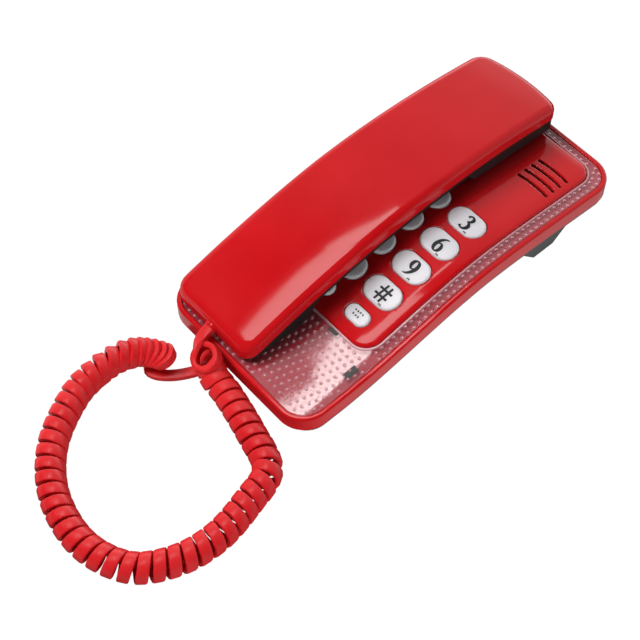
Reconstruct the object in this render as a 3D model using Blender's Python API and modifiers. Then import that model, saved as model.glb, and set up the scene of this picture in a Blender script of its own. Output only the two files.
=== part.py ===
"""Corded desk telephone: an arched base with a keypad, a lift-off handset and a curly cord.

Metres, +Z up, +Y towards the earpiece end, +X to the right of someone facing the keypad.
The origin is on the table, under the middle of the base.
"""

import math

import bmesh
import bpy
from mathutils import Matrix, Vector

# Clearance between pieces that touch
GAP = 0.0003

# Base: plan size, and heights above the underside of the bottom cover
BASE_LENGTH = 0.2000
BASE_WIDTH = 0.0944
BASE_CORNER = 0.0140
RIM_HEIGHT = 0.01105
RIM_WIDTH = 0.0024
COVER_THICKNESS = 0.0016
COVER_INSET = 0.0008
DECK_THICKNESS = 0.0014
DECK_LEDGE = 0.0006
FOOT_HEIGHT = 0.0010
FOOT_RADIUS = 0.0045
FOOT_SIDE_INSET = 0.0130
FOOT_FRONT_INSET = 0.0120

# Lengthwise arch of the base: flat at the front, a ramp up, then a gentle fall
ARCH_FLAT = 0.0210
ARCH_RAMP = 0.0970
ARCH_BEYOND = 0.0150
ARCH_RISE = 0.0127
ARCH_DROP = 0.0060
STATION_PITCH = 0.0100

# Clear bezel and raised keypad panel
BEZEL_THICKNESS = 0.0020
BEZEL_RECESS = 0.0004
BEZEL_SIDE_STRIP = 0.0066
BEZEL_FRONT_WINDOW = 0.0436
BEZEL_BACK_STRIP = 0.0050
PANEL_RISE = 0.0022
PANEL_PLATE = 0.0018
PANEL_WALL = 0.0018
PANEL_CORNER = 0.0090

# Snap tabs of the bottom cover, seen through the clear window
TAB_LENGTH = 0.0050
TAB_WIDTH = 0.0024
TAB_SIDE_OUTSET = 0.0006
TAB_SIDE_DROP = 0.0082
TAB_MIDDLE_INSET = 0.0215
TAB_MIDDLE_DROP = 0.0035

# Keys
KEY_WIDTH = 0.0128
KEY_COLUMN_GAP = 0.0032
KEY_RIGHT_MARGIN = 0.0066
KEY_LEFT_MARGIN = 0.0034
KEY_CLEARANCE = 0.00035
KEY_PROUD = 0.0004
KEY_TRAVEL = 0.0015
KEY_FLANGE = 0.0007
KEY_FLANGE_THICKNESS = 0.0009
KEY_ROW_PITCH = 0.01742
FUNCTION_KEY_LENGTH = 0.0134
FUNCTION_KEY_WIDTH = 0.0080
FUNCTION_ROW_MARGIN = 0.0102
FUNCTION_ROW_PITCH = 0.0152
MAT_THICKNESS = 0.0014
MAT_BACK_MARGIN = 0.0100
BOARD_THICKNESS = 0.0016
BOARD_HOOK_GAP = 0.0097
BOARD_SIDE_CLEARANCE = 0.0005

# Ringer and the sound slots above it
SLOT_COUNT = 4
SLOT_LENGTH = 0.0190
SLOT_WIDTH = 0.0013
SLOT_PITCH = 0.0047
SLOT_BOW = 0.0007
SLOT_SIDE_MARGIN = 0.0129
SLOT_BACK_MARGIN = 0.0155
RINGER_RADIUS = 0.0100
RINGER_THICKNESS = 0.0030

# Hook plunger, its spring and its switch
HOOK_ROW_OFFSET = 0.0360
HOOK_LENGTH = 0.0090
HOOK_WIDTH = 0.0070
HOOK_TRAVEL = 0.0035
HOOK_FLANGE = 0.0010
HOOK_FLANGE_THICKNESS = 0.0010
SPRING_RADIUS = 0.0027
SPRING_WIRE = 0.0006
SPRING_TURNS = 4
SWITCH_LENGTH = 0.0120
SWITCH_WIDTH = 0.0060
SWITCH_HEIGHT = 0.0034
SWITCH_OFFSET = 0.0150

# Desk stand under the earpiece end
STAND_BACK_INSET = 0.0300
STAND_LENGTH = 0.0340
STAND_RAMP = 0.0110
STAND_INSET = 0.0016
STAND_WALL = 0.0024

# Line jack, under the left side of the base
JACK_LENGTH = 0.0140
JACK_WIDTH = 0.0124
JACK_HEIGHT = 0.0088
JACK_SIDE_INSET = 0.0030
JACK_STAND_GAP = 0.0240
JACK_MOUTH_WIDTH = 0.0096
JACK_MOUTH_HEIGHT = 0.0064
JACK_MOUTH_DEPTH = 0.0105

# Fasteners
SCREW_RADIUS = 0.0013
SCREW_HEAD_RADIUS = 0.0026
SCREW_HEAD_HEIGHT = 0.0006
SCREW_LENGTH = 0.0045
BOSS_RADIUS = 0.0030
COVER_SCREW_SIDE_INSET = 0.0066
COVER_SCREW_END_INSET = 0.0180

# Handset: plan size, red shell height and how it bridges the keypad
HANDSET_LENGTH = 0.1880
HANDSET_WIDTH = 0.0490
HANDSET_CORNER = 0.0070
HANDSET_BOW = 0.0045
HANDSET_SIDE_INSET = 0.0052
HANDSET_FRONT_INSET = 0.0050
HANDSET_HEIGHT = 0.0086
HANDSET_SHOULDER = 0.0036
HANDSET_WALL = 0.0020
HANDSET_PEAK_OFFSET = 0.0130
HANDSET_BRIDGE = 0.0085
HANDSET_MOUTH_RISE = 0.0020
HANDSET_LIFT = 0.0600
FACE_INSET = 0.0008
FACE_BAND = 0.0025
FACE_WALL = 0.0017
FACE_FRONT_MARGIN = 0.0070
MOUTH_PANEL_GAP = 0.0050
EAR_LEAD = 0.0120

# Inside the handset
RECEIVER_RADIUS = 0.0150
RECEIVER_HEIGHT = 0.0070
RECEIVER_INSET = 0.0210
SEAL_WIDTH = 0.0030
SEAL_HEIGHT = 0.0010
MICROPHONE_RADIUS = 0.00485
MICROPHONE_HEIGHT = 0.0045
MICROPHONE_INSET = 0.0180
BOOT_WALL = 0.0015
WEIGHT_WIDTH = 0.0260
WEIGHT_THICKNESS = 0.0040
WEIGHT_SCREW_GAP = 0.0085
SOUND_HOLE_RADIUS = 0.0011
SOUND_RING_RADIUS = 0.0060
SOUND_RING_COUNT = 6
HANDSET_SCREW_INSET = 0.0480
HANDSET_SCREW_EAR_GAP = 0.0150

# Curly cord, its straight tails and the glands that it comes out of
COIL_DIAMETER = 0.0135
TAIL_DIAMETER = 0.0036
GLAND_RADIUS = 0.0021
GLAND_LENGTH = 0.0056
GLAND_PROUD = 0.0016
LEAD_OUT = 0.0018
HANDSET_GLAND_RISE = 0.0032
BASE_GLAND_OFFSET = 0.0040
COIL_ROUTE = [
    (-0.0080, -0.1076, 0.0095),
    (0.0000, -0.1086, 0.0075),
    (0.0100, -0.1098, 0.0069),
    (0.0307, -0.1144, 0.0069),
    (0.0490, -0.1206, 0.0069),
    (0.0566, -0.1364, 0.0069),
    (0.0598, -0.1567, 0.0069),
    (0.0563, -0.1755, 0.0069),
    (0.0457, -0.1915, 0.0069),
    (0.0248, -0.1989, 0.0069),
    (0.0000, -0.1945, 0.0069),
    (-0.0200, -0.1806, 0.0069),
    (-0.0337, -0.1595, 0.0069),
    (-0.0376, -0.1400, 0.0069),
    (-0.0318, -0.1262, 0.0069),
    (-0.0195, -0.1189, 0.0069),
]
HANDSET_TAIL_ROUTE = [
    (-0.0182, -0.1005, 0.0155),
    (-0.0184, -0.1045, 0.0125),
    (-0.0165, -0.1082, 0.0088),
    (-0.0130, -0.1097, 0.0068),
    (-0.0095, -0.1098, 0.0062),
]
BASE_TAIL_ROUTE = [
    (-0.0142, -0.1060, 0.0032),
    (-0.0140, -0.1105, 0.0020),
    (-0.0144, -0.1145, 0.0020),
    (-0.0156, -0.1172, 0.0024),
    (-0.0182, -0.1186, 0.0032),
]

# Facets of round shapes
CORNER_STEPS = 5
KEY_END_STEPS = 6
ROUND_STEPS = 20
SMALL_ROUND_STEPS = 12

# Heights above the underside of the bottom cover
COVER_TOP = COVER_THICKNESS
INSIDE_FLOOR = COVER_TOP + GAP
BEZEL_TOP = RIM_HEIGHT - BEZEL_RECESS
BEZEL_BOTTOM = BEZEL_TOP - BEZEL_THICKNESS
DECK_TOP = BEZEL_BOTTOM - GAP
DECK_BOTTOM = DECK_TOP - DECK_THICKNESS
PANEL_TOP = BEZEL_TOP + PANEL_RISE
PANEL_UNDER = PANEL_TOP - PANEL_PLATE
FLANGE_TOP = PANEL_UNDER - GAP
FLANGE_BOTTOM = FLANGE_TOP - KEY_FLANGE_THICKNESS
MAT_TOP = FLANGE_BOTTOM - KEY_TRAVEL - GAP
MAT_BOTTOM = MAT_TOP - MAT_THICKNESS
BOARD_TOP = MAT_BOTTOM - GAP
BOARD_BOTTOM = BOARD_TOP - BOARD_THICKNESS
HOOK_FLANGE_TOP = PANEL_UNDER - HOOK_TRAVEL - GAP
HOOK_FLANGE_BOTTOM = HOOK_FLANGE_TOP - HOOK_FLANGE_THICKNESS

# Plan limits, as left, right, front and back
BASE_PLAN = (-BASE_WIDTH / 2, BASE_WIDTH / 2, -BASE_LENGTH / 2, BASE_LENGTH / 2)
PANEL_PLAN = (
    BASE_PLAN[0] + RIM_WIDTH + BEZEL_SIDE_STRIP,
    BASE_PLAN[1] - RIM_WIDTH - BEZEL_SIDE_STRIP,
    BASE_PLAN[2] + RIM_WIDTH + BEZEL_FRONT_WINDOW,
    BASE_PLAN[3] - RIM_WIDTH - BEZEL_BACK_STRIP,
)
HANDSET_PLAN = (
    BASE_PLAN[0] + HANDSET_SIDE_INSET,
    BASE_PLAN[0] + HANDSET_SIDE_INSET + HANDSET_WIDTH,
    BASE_PLAN[2] + HANDSET_FRONT_INSET,
    BASE_PLAN[2] + HANDSET_FRONT_INSET + HANDSET_LENGTH,
)
HANDSET_X = (HANDSET_PLAN[0] + HANDSET_PLAN[1]) / 2
WINDOW_INSET = PANEL_WALL + DECK_LEDGE
KEY_LENGTH = (
    PANEL_PLAN[1] - PANEL_PLAN[0] - KEY_LEFT_MARGIN - KEY_RIGHT_MARGIN - 2 * KEY_COLUMN_GAP
) / 3
KEY_COLUMN_PITCH = KEY_LENGTH + KEY_COLUMN_GAP
LAST_COLUMN_X = PANEL_PLAN[1] - KEY_RIGHT_MARGIN - KEY_LENGTH / 2
COLUMN_X = [LAST_COLUMN_X - KEY_COLUMN_PITCH * step for step in (2, 1, 0)]
FUNCTION_ROW_Y = PANEL_PLAN[2] + FUNCTION_ROW_MARGIN
ROW_Y = [FUNCTION_ROW_Y + FUNCTION_ROW_PITCH + KEY_ROW_PITCH * step for step in (3, 2, 1, 0)]
SLOT_X = PANEL_PLAN[1] - SLOT_SIDE_MARGIN
SLOT_FRONT_Y = PANEL_PLAN[3] - SLOT_BACK_MARGIN - SLOT_PITCH * (SLOT_COUNT - 1)
HOOK_Y = ROW_Y[0] + HOOK_ROW_OFFSET
HOOK_TOP = PANEL_TOP + KEY_PROUD
BOARD_BACK_Y = HOOK_Y - BOARD_HOOK_GAP
STAND_BACK_Y = BASE_PLAN[3] - STAND_BACK_INSET
STAND_FRONT_Y = STAND_BACK_Y - STAND_LENGTH
STAND_FOOT_FRONT_Y = STAND_FRONT_Y + STAND_RAMP
STAND_FOOT_BACK_Y = STAND_BACK_Y - STAND_RAMP
TAB_SIDE_X = PANEL_PLAN[1] + TAB_SIDE_OUTSET
TAB_SIDE_Y = PANEL_PLAN[2] - TAB_SIDE_DROP
TAB_MIDDLE_X = PANEL_PLAN[1] - TAB_MIDDLE_INSET
TAB_MIDDLE_Y = PANEL_PLAN[2] - TAB_MIDDLE_DROP
ARCH_START_Y = BASE_PLAN[2] + ARCH_FLAT
ARCH_PEAK_Y = ARCH_START_Y + ARCH_RAMP
ARCH_END_Y = BASE_PLAN[3] + ARCH_BEYOND
JACK_Y = STAND_FRONT_Y - JACK_STAND_GAP
HANDSET_PEAK_Y = ARCH_PEAK_Y + HANDSET_PEAK_OFFSET
MICROPHONE_Y = HANDSET_PLAN[2] + MICROPHONE_INSET
RECEIVER_Y = HANDSET_PLAN[3] - RECEIVER_INSET
MOUTH_END_Y = PANEL_PLAN[2] - MOUTH_PANEL_GAP
EAR_START_Y = RECEIVER_Y - RECEIVER_RADIUS - EAR_LEAD
EAR_CLEARANCE = KEY_PROUD + GAP
HANDSET_SCREW_FRONT_Y = HANDSET_PLAN[2] + HANDSET_SCREW_INSET
HANDSET_SCREW_BACK_Y = EAR_START_Y - HANDSET_SCREW_EAR_GAP
WEIGHT_Y = (HANDSET_SCREW_FRONT_Y + HANDSET_SCREW_BACK_Y) / 2
WEIGHT_LENGTH = HANDSET_SCREW_BACK_Y - HANDSET_SCREW_FRONT_Y - 2 * WEIGHT_SCREW_GAP
BASE_GLAND_X = HANDSET_X + BASE_GLAND_OFFSET
SCREW_X = BASE_PLAN[1] - COVER_SCREW_SIDE_INSET
SCREW_Y = BASE_PLAN[3] - COVER_SCREW_END_INSET
GLAND_HOLE_RADIUS = GLAND_RADIUS + GAP
SCREW_HOLE_RADIUS = SCREW_RADIUS + GAP

DIGIT_ROWS = [
    ("key_1", "key_2", "key_3"),
    ("key_4", "key_5", "key_6"),
    ("key_7", "key_8", "key_9"),
    ("key_star", "key_0", "key_hash"),
]
FUNCTION_KEYS = ("key_mute", "key_flash", "key_redial")

# Colour, roughness and metallic value of each finish
FINISHES = {
    "red_gloss": ((0.55, 0.008, 0.012), 0.15, 0.0),
    "dark_grey_plastic": ((0.060, 0.063, 0.060), 0.45, 0.0),
    "clear_plastic": ((0.75, 0.45, 0.48), 0.08, 0.0),
    "white_key": ((0.78, 0.76, 0.80), 0.30, 0.0),
    "grey_rubber": ((0.030, 0.030, 0.032), 0.80, 0.0),
    "silicone_mat": ((0.30, 0.30, 0.31), 0.65, 0.0),
    "circuit_board": ((0.10, 0.16, 0.05), 0.45, 0.0),
    "steel": ((0.45, 0.45, 0.46), 0.30, 1.0),
    "brass": ((0.60, 0.43, 0.15), 0.35, 1.0),
    "grey_foam": ((0.12, 0.12, 0.12), 0.90, 0.0),
    "red_cord": ((0.62, 0.014, 0.018), 0.38, 0.0),
}


def clear_scene():
    for item in list(bpy.data.objects):
        bpy.data.objects.remove(item, do_unlink=True)


def new_collection(name):
    collection = bpy.data.collections.new(name)
    bpy.context.scene.collection.children.link(collection)
    return collection


def new_material(name, colour, roughness, metallic):
    material = bpy.data.materials.new(name)
    material.use_nodes = True
    shader = material.node_tree.nodes["Principled BSDF"]
    shader.inputs["Base Color"].default_value = (*colour, 1.0)
    shader.inputs["Roughness"].default_value = roughness
    shader.inputs["Metallic"].default_value = metallic
    material.diffuse_color = (*colour, 1.0)
    return material


clear_scene()
PARTS = new_collection("corded_telephone")
CUTTERS = new_collection("cutters")
MATERIALS = {name: new_material(name, *values) for name, values in FINISHES.items()}


# Heights of the arched surfaces

def smooth_step(t):
    t = min(max(t, 0.0), 1.0)
    return t * t * (3.0 - 2.0 * t)


def arch_curve(y):
    """World height of the bottom cover's underside."""
    rise = ARCH_RISE * smooth_step((y - ARCH_START_Y) / (ARCH_PEAK_Y - ARCH_START_Y))
    drop = ARCH_DROP * smooth_step((y - ARCH_PEAK_Y) / (ARCH_END_Y - ARCH_PEAK_Y))
    return FOOT_HEIGHT + GAP + rise - drop


HANDSET_PEAK_Z = arch_curve(HANDSET_PEAK_Y) + PANEL_TOP + HANDSET_BRIDGE
HANDSET_MOUTH_Z = arch_curve(HANDSET_PLAN[2]) + BEZEL_TOP + HANDSET_MOUTH_RISE
HANDSET_SAG = (HANDSET_PEAK_Z - HANDSET_MOUTH_Z) / (HANDSET_PEAK_Y - HANDSET_PLAN[2]) ** 2


def handset_curve(y):
    """World height of the red shell's lower edge."""
    return HANDSET_PEAK_Z - HANDSET_SAG * (y - HANDSET_PEAK_Y) ** 2


def face_curve(y):
    """World height of the underside of the handset's dark inner shell."""
    if y <= MOUTH_END_Y:
        return arch_curve(y) + BEZEL_TOP + GAP
    if y >= EAR_START_Y:
        return arch_curve(y) + PANEL_TOP + EAR_CLEARANCE
    return handset_curve(y) - FACE_BAND


def faceted(curve, y):
    """The curve as straight runs between stations, so that neighbours share every facet."""
    lower = math.floor(y / STATION_PITCH) * STATION_PITCH
    share = (y - lower) / STATION_PITCH
    return curve(lower) * (1.0 - share) + curve(lower + STATION_PITCH) * share


# Modelling helpers

def add_object(name, mesh, collection):
    item = bpy.data.objects.new(name, mesh)
    collection.objects.link(item)
    return item


def mesh_object(item, name, collection):
    """A mesh object made from what the given curve or modified object evaluates to."""
    bpy.context.view_layer.update()
    graph = bpy.context.evaluated_depsgraph_get()
    mesh = bpy.data.meshes.new_from_object(item.evaluated_get(graph))
    mesh.transform(item.matrix_world)
    bpy.data.objects.remove(item, do_unlink=True)
    shape = bmesh.new()
    shape.from_mesh(mesh)
    bmesh.ops.remove_doubles(shape, verts=shape.verts[:], dist=1e-7)
    bmesh.ops.dissolve_limit(
        shape, angle_limit=math.radians(0.5), verts=shape.verts[:], edges=shape.edges[:]
    )
    bmesh.ops.recalc_face_normals(shape, faces=shape.faces[:])
    shape.to_mesh(mesh)
    shape.free()
    result = add_object(name, mesh, collection)
    if collection is CUTTERS:
        result.hide_render = True
        result.display_type = "WIRE"
    return result


def curve_object(name, points, cyclic):
    data = bpy.data.curves.new(name, "CURVE")
    spline = data.splines.new("POLY")
    spline.points.add(len(points) - 1)
    for target, point in zip(spline.points, points):
        target.co = (*point, 1.0)
    spline.use_cyclic_u = cyclic
    item = bpy.data.objects.new(name, data)
    bpy.context.scene.collection.objects.link(item)
    return item


def plate(name, outline, bottom, top, collection=PARTS, matrix=None):
    """Closed slab with a flat outline."""
    item = curve_object(name, [(x, y, 0.0) for x, y in outline], True)
    item.data.dimensions = "2D"
    item.data.fill_mode = "BOTH"
    item.data.extrude = (top - bottom) / 2
    item.matrix_world = (matrix or Matrix()) @ Matrix.Translation((0, 0, (top + bottom) / 2))
    return mesh_object(item, name, collection)


def tube(name, points, diameter, sides_resolution=2):
    item = curve_object(name, points, False)
    item.data.dimensions = "3D"
    item.data.bevel_depth = diameter / 2
    item.data.bevel_resolution = sides_resolution
    item.data.use_fill_caps = True
    return mesh_object(item, name, PARTS)


def turned(name, profile, steps, place, collection=PARTS, closed=False):
    """Shape turned about Z from a profile of radius and height, then placed by a matrix."""
    mesh = bpy.data.meshes.new(name)
    count = len(profile)
    edges = [(index, index + 1) for index in range(count - 1)]
    if closed:
        edges.append((count - 1, 0))
    mesh.from_pydata([(radius, 0.0, height) for radius, height in profile], edges, [])
    item = add_object(name, mesh, bpy.context.scene.collection)
    screw = item.modifiers.new("turn", "SCREW")
    screw.steps = steps
    screw.render_steps = steps
    screw.use_merge_vertices = True
    screw.merge_threshold = 1e-6
    item.matrix_world = place
    return mesh_object(item, name, collection)


def disc(name, radius, bottom, top, x, y, steps=ROUND_STEPS, collection=PARTS):
    profile = [(0.0, top), (radius, top), (radius, bottom), (0.0, bottom)]
    return turned(name, profile, steps, Matrix.Translation((x, y, 0)), collection)


def ring(name, inner, outer, bottom, top, x, y, steps=ROUND_STEPS):
    profile = [(inner, top), (outer, top), (outer, bottom), (inner, bottom)]
    return turned(name, profile, steps, Matrix.Translation((x, y, 0)), closed=True)


def combine(part, others, operation):
    for other in others:
        boolean = part.modifiers.new(other.name, "BOOLEAN")
        boolean.operation = operation
        boolean.solver = "EXACT"
        boolean.object = other
    name = part.name
    collection = part.users_collection[0]
    part.name = name + "_uncut"
    result = mesh_object(part, name, collection)
    for other in others:
        bpy.data.objects.remove(other, do_unlink=True)
    return result


def cut(part, cutters):
    return combine(part, cutters, "DIFFERENCE")


def join(part, others):
    return combine(part, others, "UNION")


def split_at_stations(shape):
    heights = [vert.co.y for vert in shape.verts]
    station = math.ceil(min(heights) / STATION_PITCH)
    while station * STATION_PITCH < max(heights):
        bmesh.ops.bisect_plane(
            shape,
            geom=shape.verts[:] + shape.edges[:] + shape.faces[:],
            dist=1e-6,
            plane_co=(0, station * STATION_PITCH, 0),
            plane_no=(0, 1, 0),
        )
        station += 1


def reshape(part, height):
    """Split a part at the stations and give each vertex a new height."""
    shape = bmesh.new()
    shape.from_mesh(part.data)
    split_at_stations(shape)
    for vert in shape.verts:
        vert.co.z = height(vert.co)
    shape.to_mesh(part.data)
    shape.free()
    return part


def arched(part):
    return reshape(part, lambda point: point.z + faceted(arch_curve, point.y))


def handset_arched(part):
    return reshape(part, lambda point: point.z + faceted(handset_curve, point.y))


def finish(part, material, smooth_angle=30.0):
    part.data.materials.clear()
    part.data.materials.append(MATERIALS[material])
    part.data.shade_smooth()
    part.data.set_sharp_from_angle(angle=math.radians(smooth_angle))
    return part


def set_origin(part, point):
    part.data.transform(Matrix.Translation(-Vector(point)))
    part.location = point
    return part


# Outlines

def arc(centre_x, centre_y, radius, start, end, steps):
    angles = [start + (end - start) * index / steps for index in range(steps + 1)]
    return [
        (
            centre_x + radius * math.cos(math.radians(angle)),
            centre_y + radius * math.sin(math.radians(angle)),
        )
        for angle in angles
    ]


def rounded(plan, inset, corner, steps=CORNER_STEPS):
    """Rectangle with round corners, inset from the plan's limits."""
    left, right, front, back = plan
    radius = max(corner - inset, GAP)
    reach = inset + radius
    return (
        arc(right - reach, front + reach, radius, -90, 0, steps)
        + arc(right - reach, back - reach, radius, 0, 90, steps)
        + arc(left + reach, back - reach, radius, 90, 180, steps)
        + arc(left + reach, front + reach, radius, 180, 270, steps)
    )


def box_outline(x, y, length, width):
    return [
        (x - length / 2, y - width / 2),
        (x + length / 2, y - width / 2),
        (x + length / 2, y + width / 2),
        (x - length / 2, y + width / 2),
    ]


def stadium(x, y, length, width, steps=KEY_END_STEPS):
    radius = width / 2
    reach = length / 2 - radius
    return arc(x + reach, y, radius, -90, 90, steps) + arc(x - reach, y, radius, 90, 270, steps)


def bowed_slot(x, y):
    """Sound slot whose middle bows towards the earpiece end."""
    steps = 8
    upper = []
    lower = []
    for index in range(steps + 1):
        share = 2.0 * index / steps - 1.0
        middle = y + SLOT_BOW * (1.0 - share * share)
        taper = 0.4 if index in (0, steps) else 1.0
        lower.append((x + share * SLOT_LENGTH / 2, middle - taper * SLOT_WIDTH / 2))
        upper.append((x + share * SLOT_LENGTH / 2, middle + taper * SLOT_WIDTH / 2))
    return lower + upper[::-1]


def handset_outline(inset, front_margin=0.0):
    """Handset plan: round corners and an earpiece end that bows outwards."""
    left, right, front, back = HANDSET_PLAN
    points = rounded((left, right, front + front_margin, back), inset, HANDSET_CORNER)
    middle_y = (front + back) / 2
    half = HANDSET_WIDTH / 2
    bowed = []
    for x, y in points:
        across = (x - HANDSET_X) / half
        bow = HANDSET_BOW * (1.0 - across * across)
        bowed.append((x, y + bow) if y > middle_y else (x, y))
    back_left = 3 * (CORNER_STEPS + 1) - (CORNER_STEPS + 1)
    spread = [HANDSET_X + half * share for share in (0.45, 0.0, -0.45)]
    crown = [
        (x, back - inset + HANDSET_BOW * (1.0 - ((x - HANDSET_X) / half) ** 2)) for x in spread
    ]
    return bowed[:back_left] + crown + bowed[back_left:]


def lying_along_y(x, y, z):
    """Matrix that turns the Z axis to point towards the front and places it."""
    return Matrix.Translation((x, y, z)) @ Matrix.Rotation(math.radians(90), 4, "X")


# Base

def cover_screw_places():
    return [(side * SCREW_X, end * SCREW_Y) for side in (-1, 1) for end in (-1, 1)]


def tab_places():
    return [
        ("snap_tab_side", TAB_SIDE_X, TAB_SIDE_Y, TAB_WIDTH, TAB_LENGTH),
        ("snap_tab_middle", TAB_MIDDLE_X, TAB_MIDDLE_Y, TAB_LENGTH, TAB_WIDTH),
    ]


def base_gland_height():
    return INSIDE_FLOOR + GLAND_HOLE_RADIUS + GAP


def make_base_housing():
    wall = plate("base_housing", rounded(BASE_PLAN, 0.0, BASE_CORNER), INSIDE_FLOOR, RIM_HEIGHT)
    below = plate(
        "room_below",
        rounded(BASE_PLAN, RIM_WIDTH, BASE_CORNER),
        INSIDE_FLOOR - RIM_WIDTH,
        DECK_BOTTOM,
        CUTTERS,
    )
    above = plate(
        "room_above",
        rounded(BASE_PLAN, RIM_WIDTH, BASE_CORNER),
        DECK_TOP,
        RIM_HEIGHT + RIM_WIDTH,
        CUTTERS,
    )
    window = plate(
        "deck_window",
        rounded(PANEL_PLAN, WINDOW_INSET, PANEL_CORNER),
        0.0,
        RIM_HEIGHT,
        CUTTERS,
    )
    tray = cut(wall, [below, above, window])
    overlap = DECK_THICKNESS / 2
    bosses = [
        disc(
            f"boss_{index}",
            BOSS_RADIUS,
            INSIDE_FLOOR,
            DECK_BOTTOM + overlap,
            x,
            y,
            SMALL_ROUND_STEPS,
            CUTTERS,
        )
        for index, (x, y) in enumerate(cover_screw_places())
    ]
    tray = join(tray, bosses)
    holes = [
        disc(
            f"screw_hole_{index}",
            SCREW_HOLE_RADIUS,
            0.0,
            INSIDE_FLOOR + SCREW_LENGTH,
            x,
            y,
            SMALL_ROUND_STEPS,
            CUTTERS,
        )
        for index, (x, y) in enumerate(cover_screw_places())
    ]
    for name, x, y, length, width in tab_places():
        outline = box_outline(x, y, length + 2 * GAP, width + 2 * GAP)
        holes.append(plate(name + "_slot", outline, DECK_BOTTOM - GAP, RIM_HEIGHT, CUTTERS))
    gland_hole = [
        (0.0, RIM_WIDTH),
        (GLAND_HOLE_RADIUS, RIM_WIDTH),
        (GLAND_HOLE_RADIUS, -2 * RIM_WIDTH),
        (0.0, -2 * RIM_WIDTH),
    ]
    place = lying_along_y(BASE_GLAND_X, BASE_PLAN[2], base_gland_height())
    holes.append(turned("gland_hole", gland_hole, SMALL_ROUND_STEPS, place, CUTTERS))
    return finish(arched(cut(tray, holes)), "red_gloss")


def make_bottom_cover():
    cover = plate(
        "base_bottom_cover", rounded(BASE_PLAN, COVER_INSET, BASE_CORNER), 0.0, COVER_TOP
    )
    holes = [
        disc(
            f"cover_hole_{index}",
            SCREW_HOLE_RADIUS,
            -COVER_TOP,
            2 * COVER_TOP,
            x,
            y,
            SMALL_ROUND_STEPS,
            CUTTERS,
        )
        for index, (x, y) in enumerate(cover_screw_places())
    ]
    return finish(arched(cut(cover, holes)), "dark_grey_plastic")


def make_snap_tabs():
    for name, x, y, length, width in tab_places():
        tab = plate(name, box_outline(x, y, length, width), INSIDE_FLOOR, DECK_TOP)
        finish(arched(tab), "dark_grey_plastic")


def make_clear_bezel():
    outer = plate(
        "clear_bezel", rounded(BASE_PLAN, RIM_WIDTH + GAP, BASE_CORNER), BEZEL_BOTTOM, BEZEL_TOP
    )
    hole = plate(
        "bezel_window",
        rounded(PANEL_PLAN, -GAP, PANEL_CORNER),
        0.0,
        RIM_HEIGHT + PANEL_RISE,
        CUTTERS,
    )
    return finish(arched(cut(outer, [hole])), "clear_plastic")


def key_places():
    """Name, place and size of every key."""
    places = []
    for names, y in zip(DIGIT_ROWS, ROW_Y):
        for name, x in zip(names, COLUMN_X):
            places.append((name, x, y, KEY_LENGTH, KEY_WIDTH))
    for name, x in zip(FUNCTION_KEYS, COLUMN_X):
        places.append((name, x, FUNCTION_ROW_Y, FUNCTION_KEY_LENGTH, FUNCTION_KEY_WIDTH))
    return places


def hook_outline(spare):
    return stadium(HANDSET_X, HOOK_Y, HOOK_LENGTH + 2 * spare, HOOK_WIDTH + 2 * spare)


def make_keypad_panel():
    panel = plate(
        "keypad_panel", rounded(PANEL_PLAN, 0.0, PANEL_CORNER), BEZEL_BOTTOM, PANEL_TOP
    )
    pocket = plate(
        "panel_pocket",
        rounded(PANEL_PLAN, PANEL_WALL, PANEL_CORNER),
        0.0,
        PANEL_UNDER,
        CUTTERS,
    )
    panel = cut(panel, [pocket])
    openings = [
        (name + "_hole", stadium(x, y, length + 2 * KEY_CLEARANCE, width + 2 * KEY_CLEARANCE))
        for name, x, y, length, width in key_places()
    ]
    openings += [
        (f"sound_slot_{index}", bowed_slot(SLOT_X, SLOT_FRONT_Y + SLOT_PITCH * index))
        for index in range(SLOT_COUNT)
    ]
    openings.append(("hook_hole", hook_outline(KEY_CLEARANCE)))
    cutters = [
        plate(name, outline, FLANGE_TOP - GAP, PANEL_TOP + PANEL_PLATE, CUTTERS)
        for name, outline in openings
    ]
    return finish(arched(cut(panel, cutters)), "red_gloss")


def make_key(name, x, y, length, width):
    flange_outline = stadium(x, y, length + 2 * KEY_FLANGE, width + 2 * KEY_FLANGE)
    key = plate(name, flange_outline, FLANGE_BOTTOM, FLANGE_TOP)
    overlap = KEY_FLANGE_THICKNESS / 2
    cap = plate(
        name + "_cap",
        stadium(x, y, length, width),
        FLANGE_TOP - overlap,
        PANEL_TOP + KEY_PROUD,
        CUTTERS,
    )
    key = finish(arched(join(key, [cap])), "white_key")
    return set_origin(key, (x, y, faceted(arch_curve, y) + PANEL_TOP))


def make_keypad_inside():
    left, right, front, _ = PANEL_PLAN
    inset = WINDOW_INSET + BOARD_SIDE_CLEARANCE
    mat_plan = (left, right, front, ROW_Y[0] + KEY_WIDTH / 2 + MAT_BACK_MARGIN)
    mat = plate("keypad_mat", rounded(mat_plan, inset, PANEL_CORNER), MAT_BOTTOM, MAT_TOP)
    finish(arched(mat), "silicone_mat")
    board_plan = (left, right, front, BOARD_BACK_Y)
    board = plate(
        "main_circuit_board", rounded(board_plan, inset, PANEL_CORNER), BOARD_BOTTOM, BOARD_TOP
    )
    finish(arched(board), "circuit_board")


def make_ringer():
    middle_y = SLOT_FRONT_Y + SLOT_PITCH * (SLOT_COUNT - 1) / 2
    bottom = FLANGE_TOP - RINGER_THICKNESS
    ringer = disc("ringer_disc", RINGER_RADIUS, bottom, FLANGE_TOP, SLOT_X, middle_y)
    return finish(arched(ringer), "brass")


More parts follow.
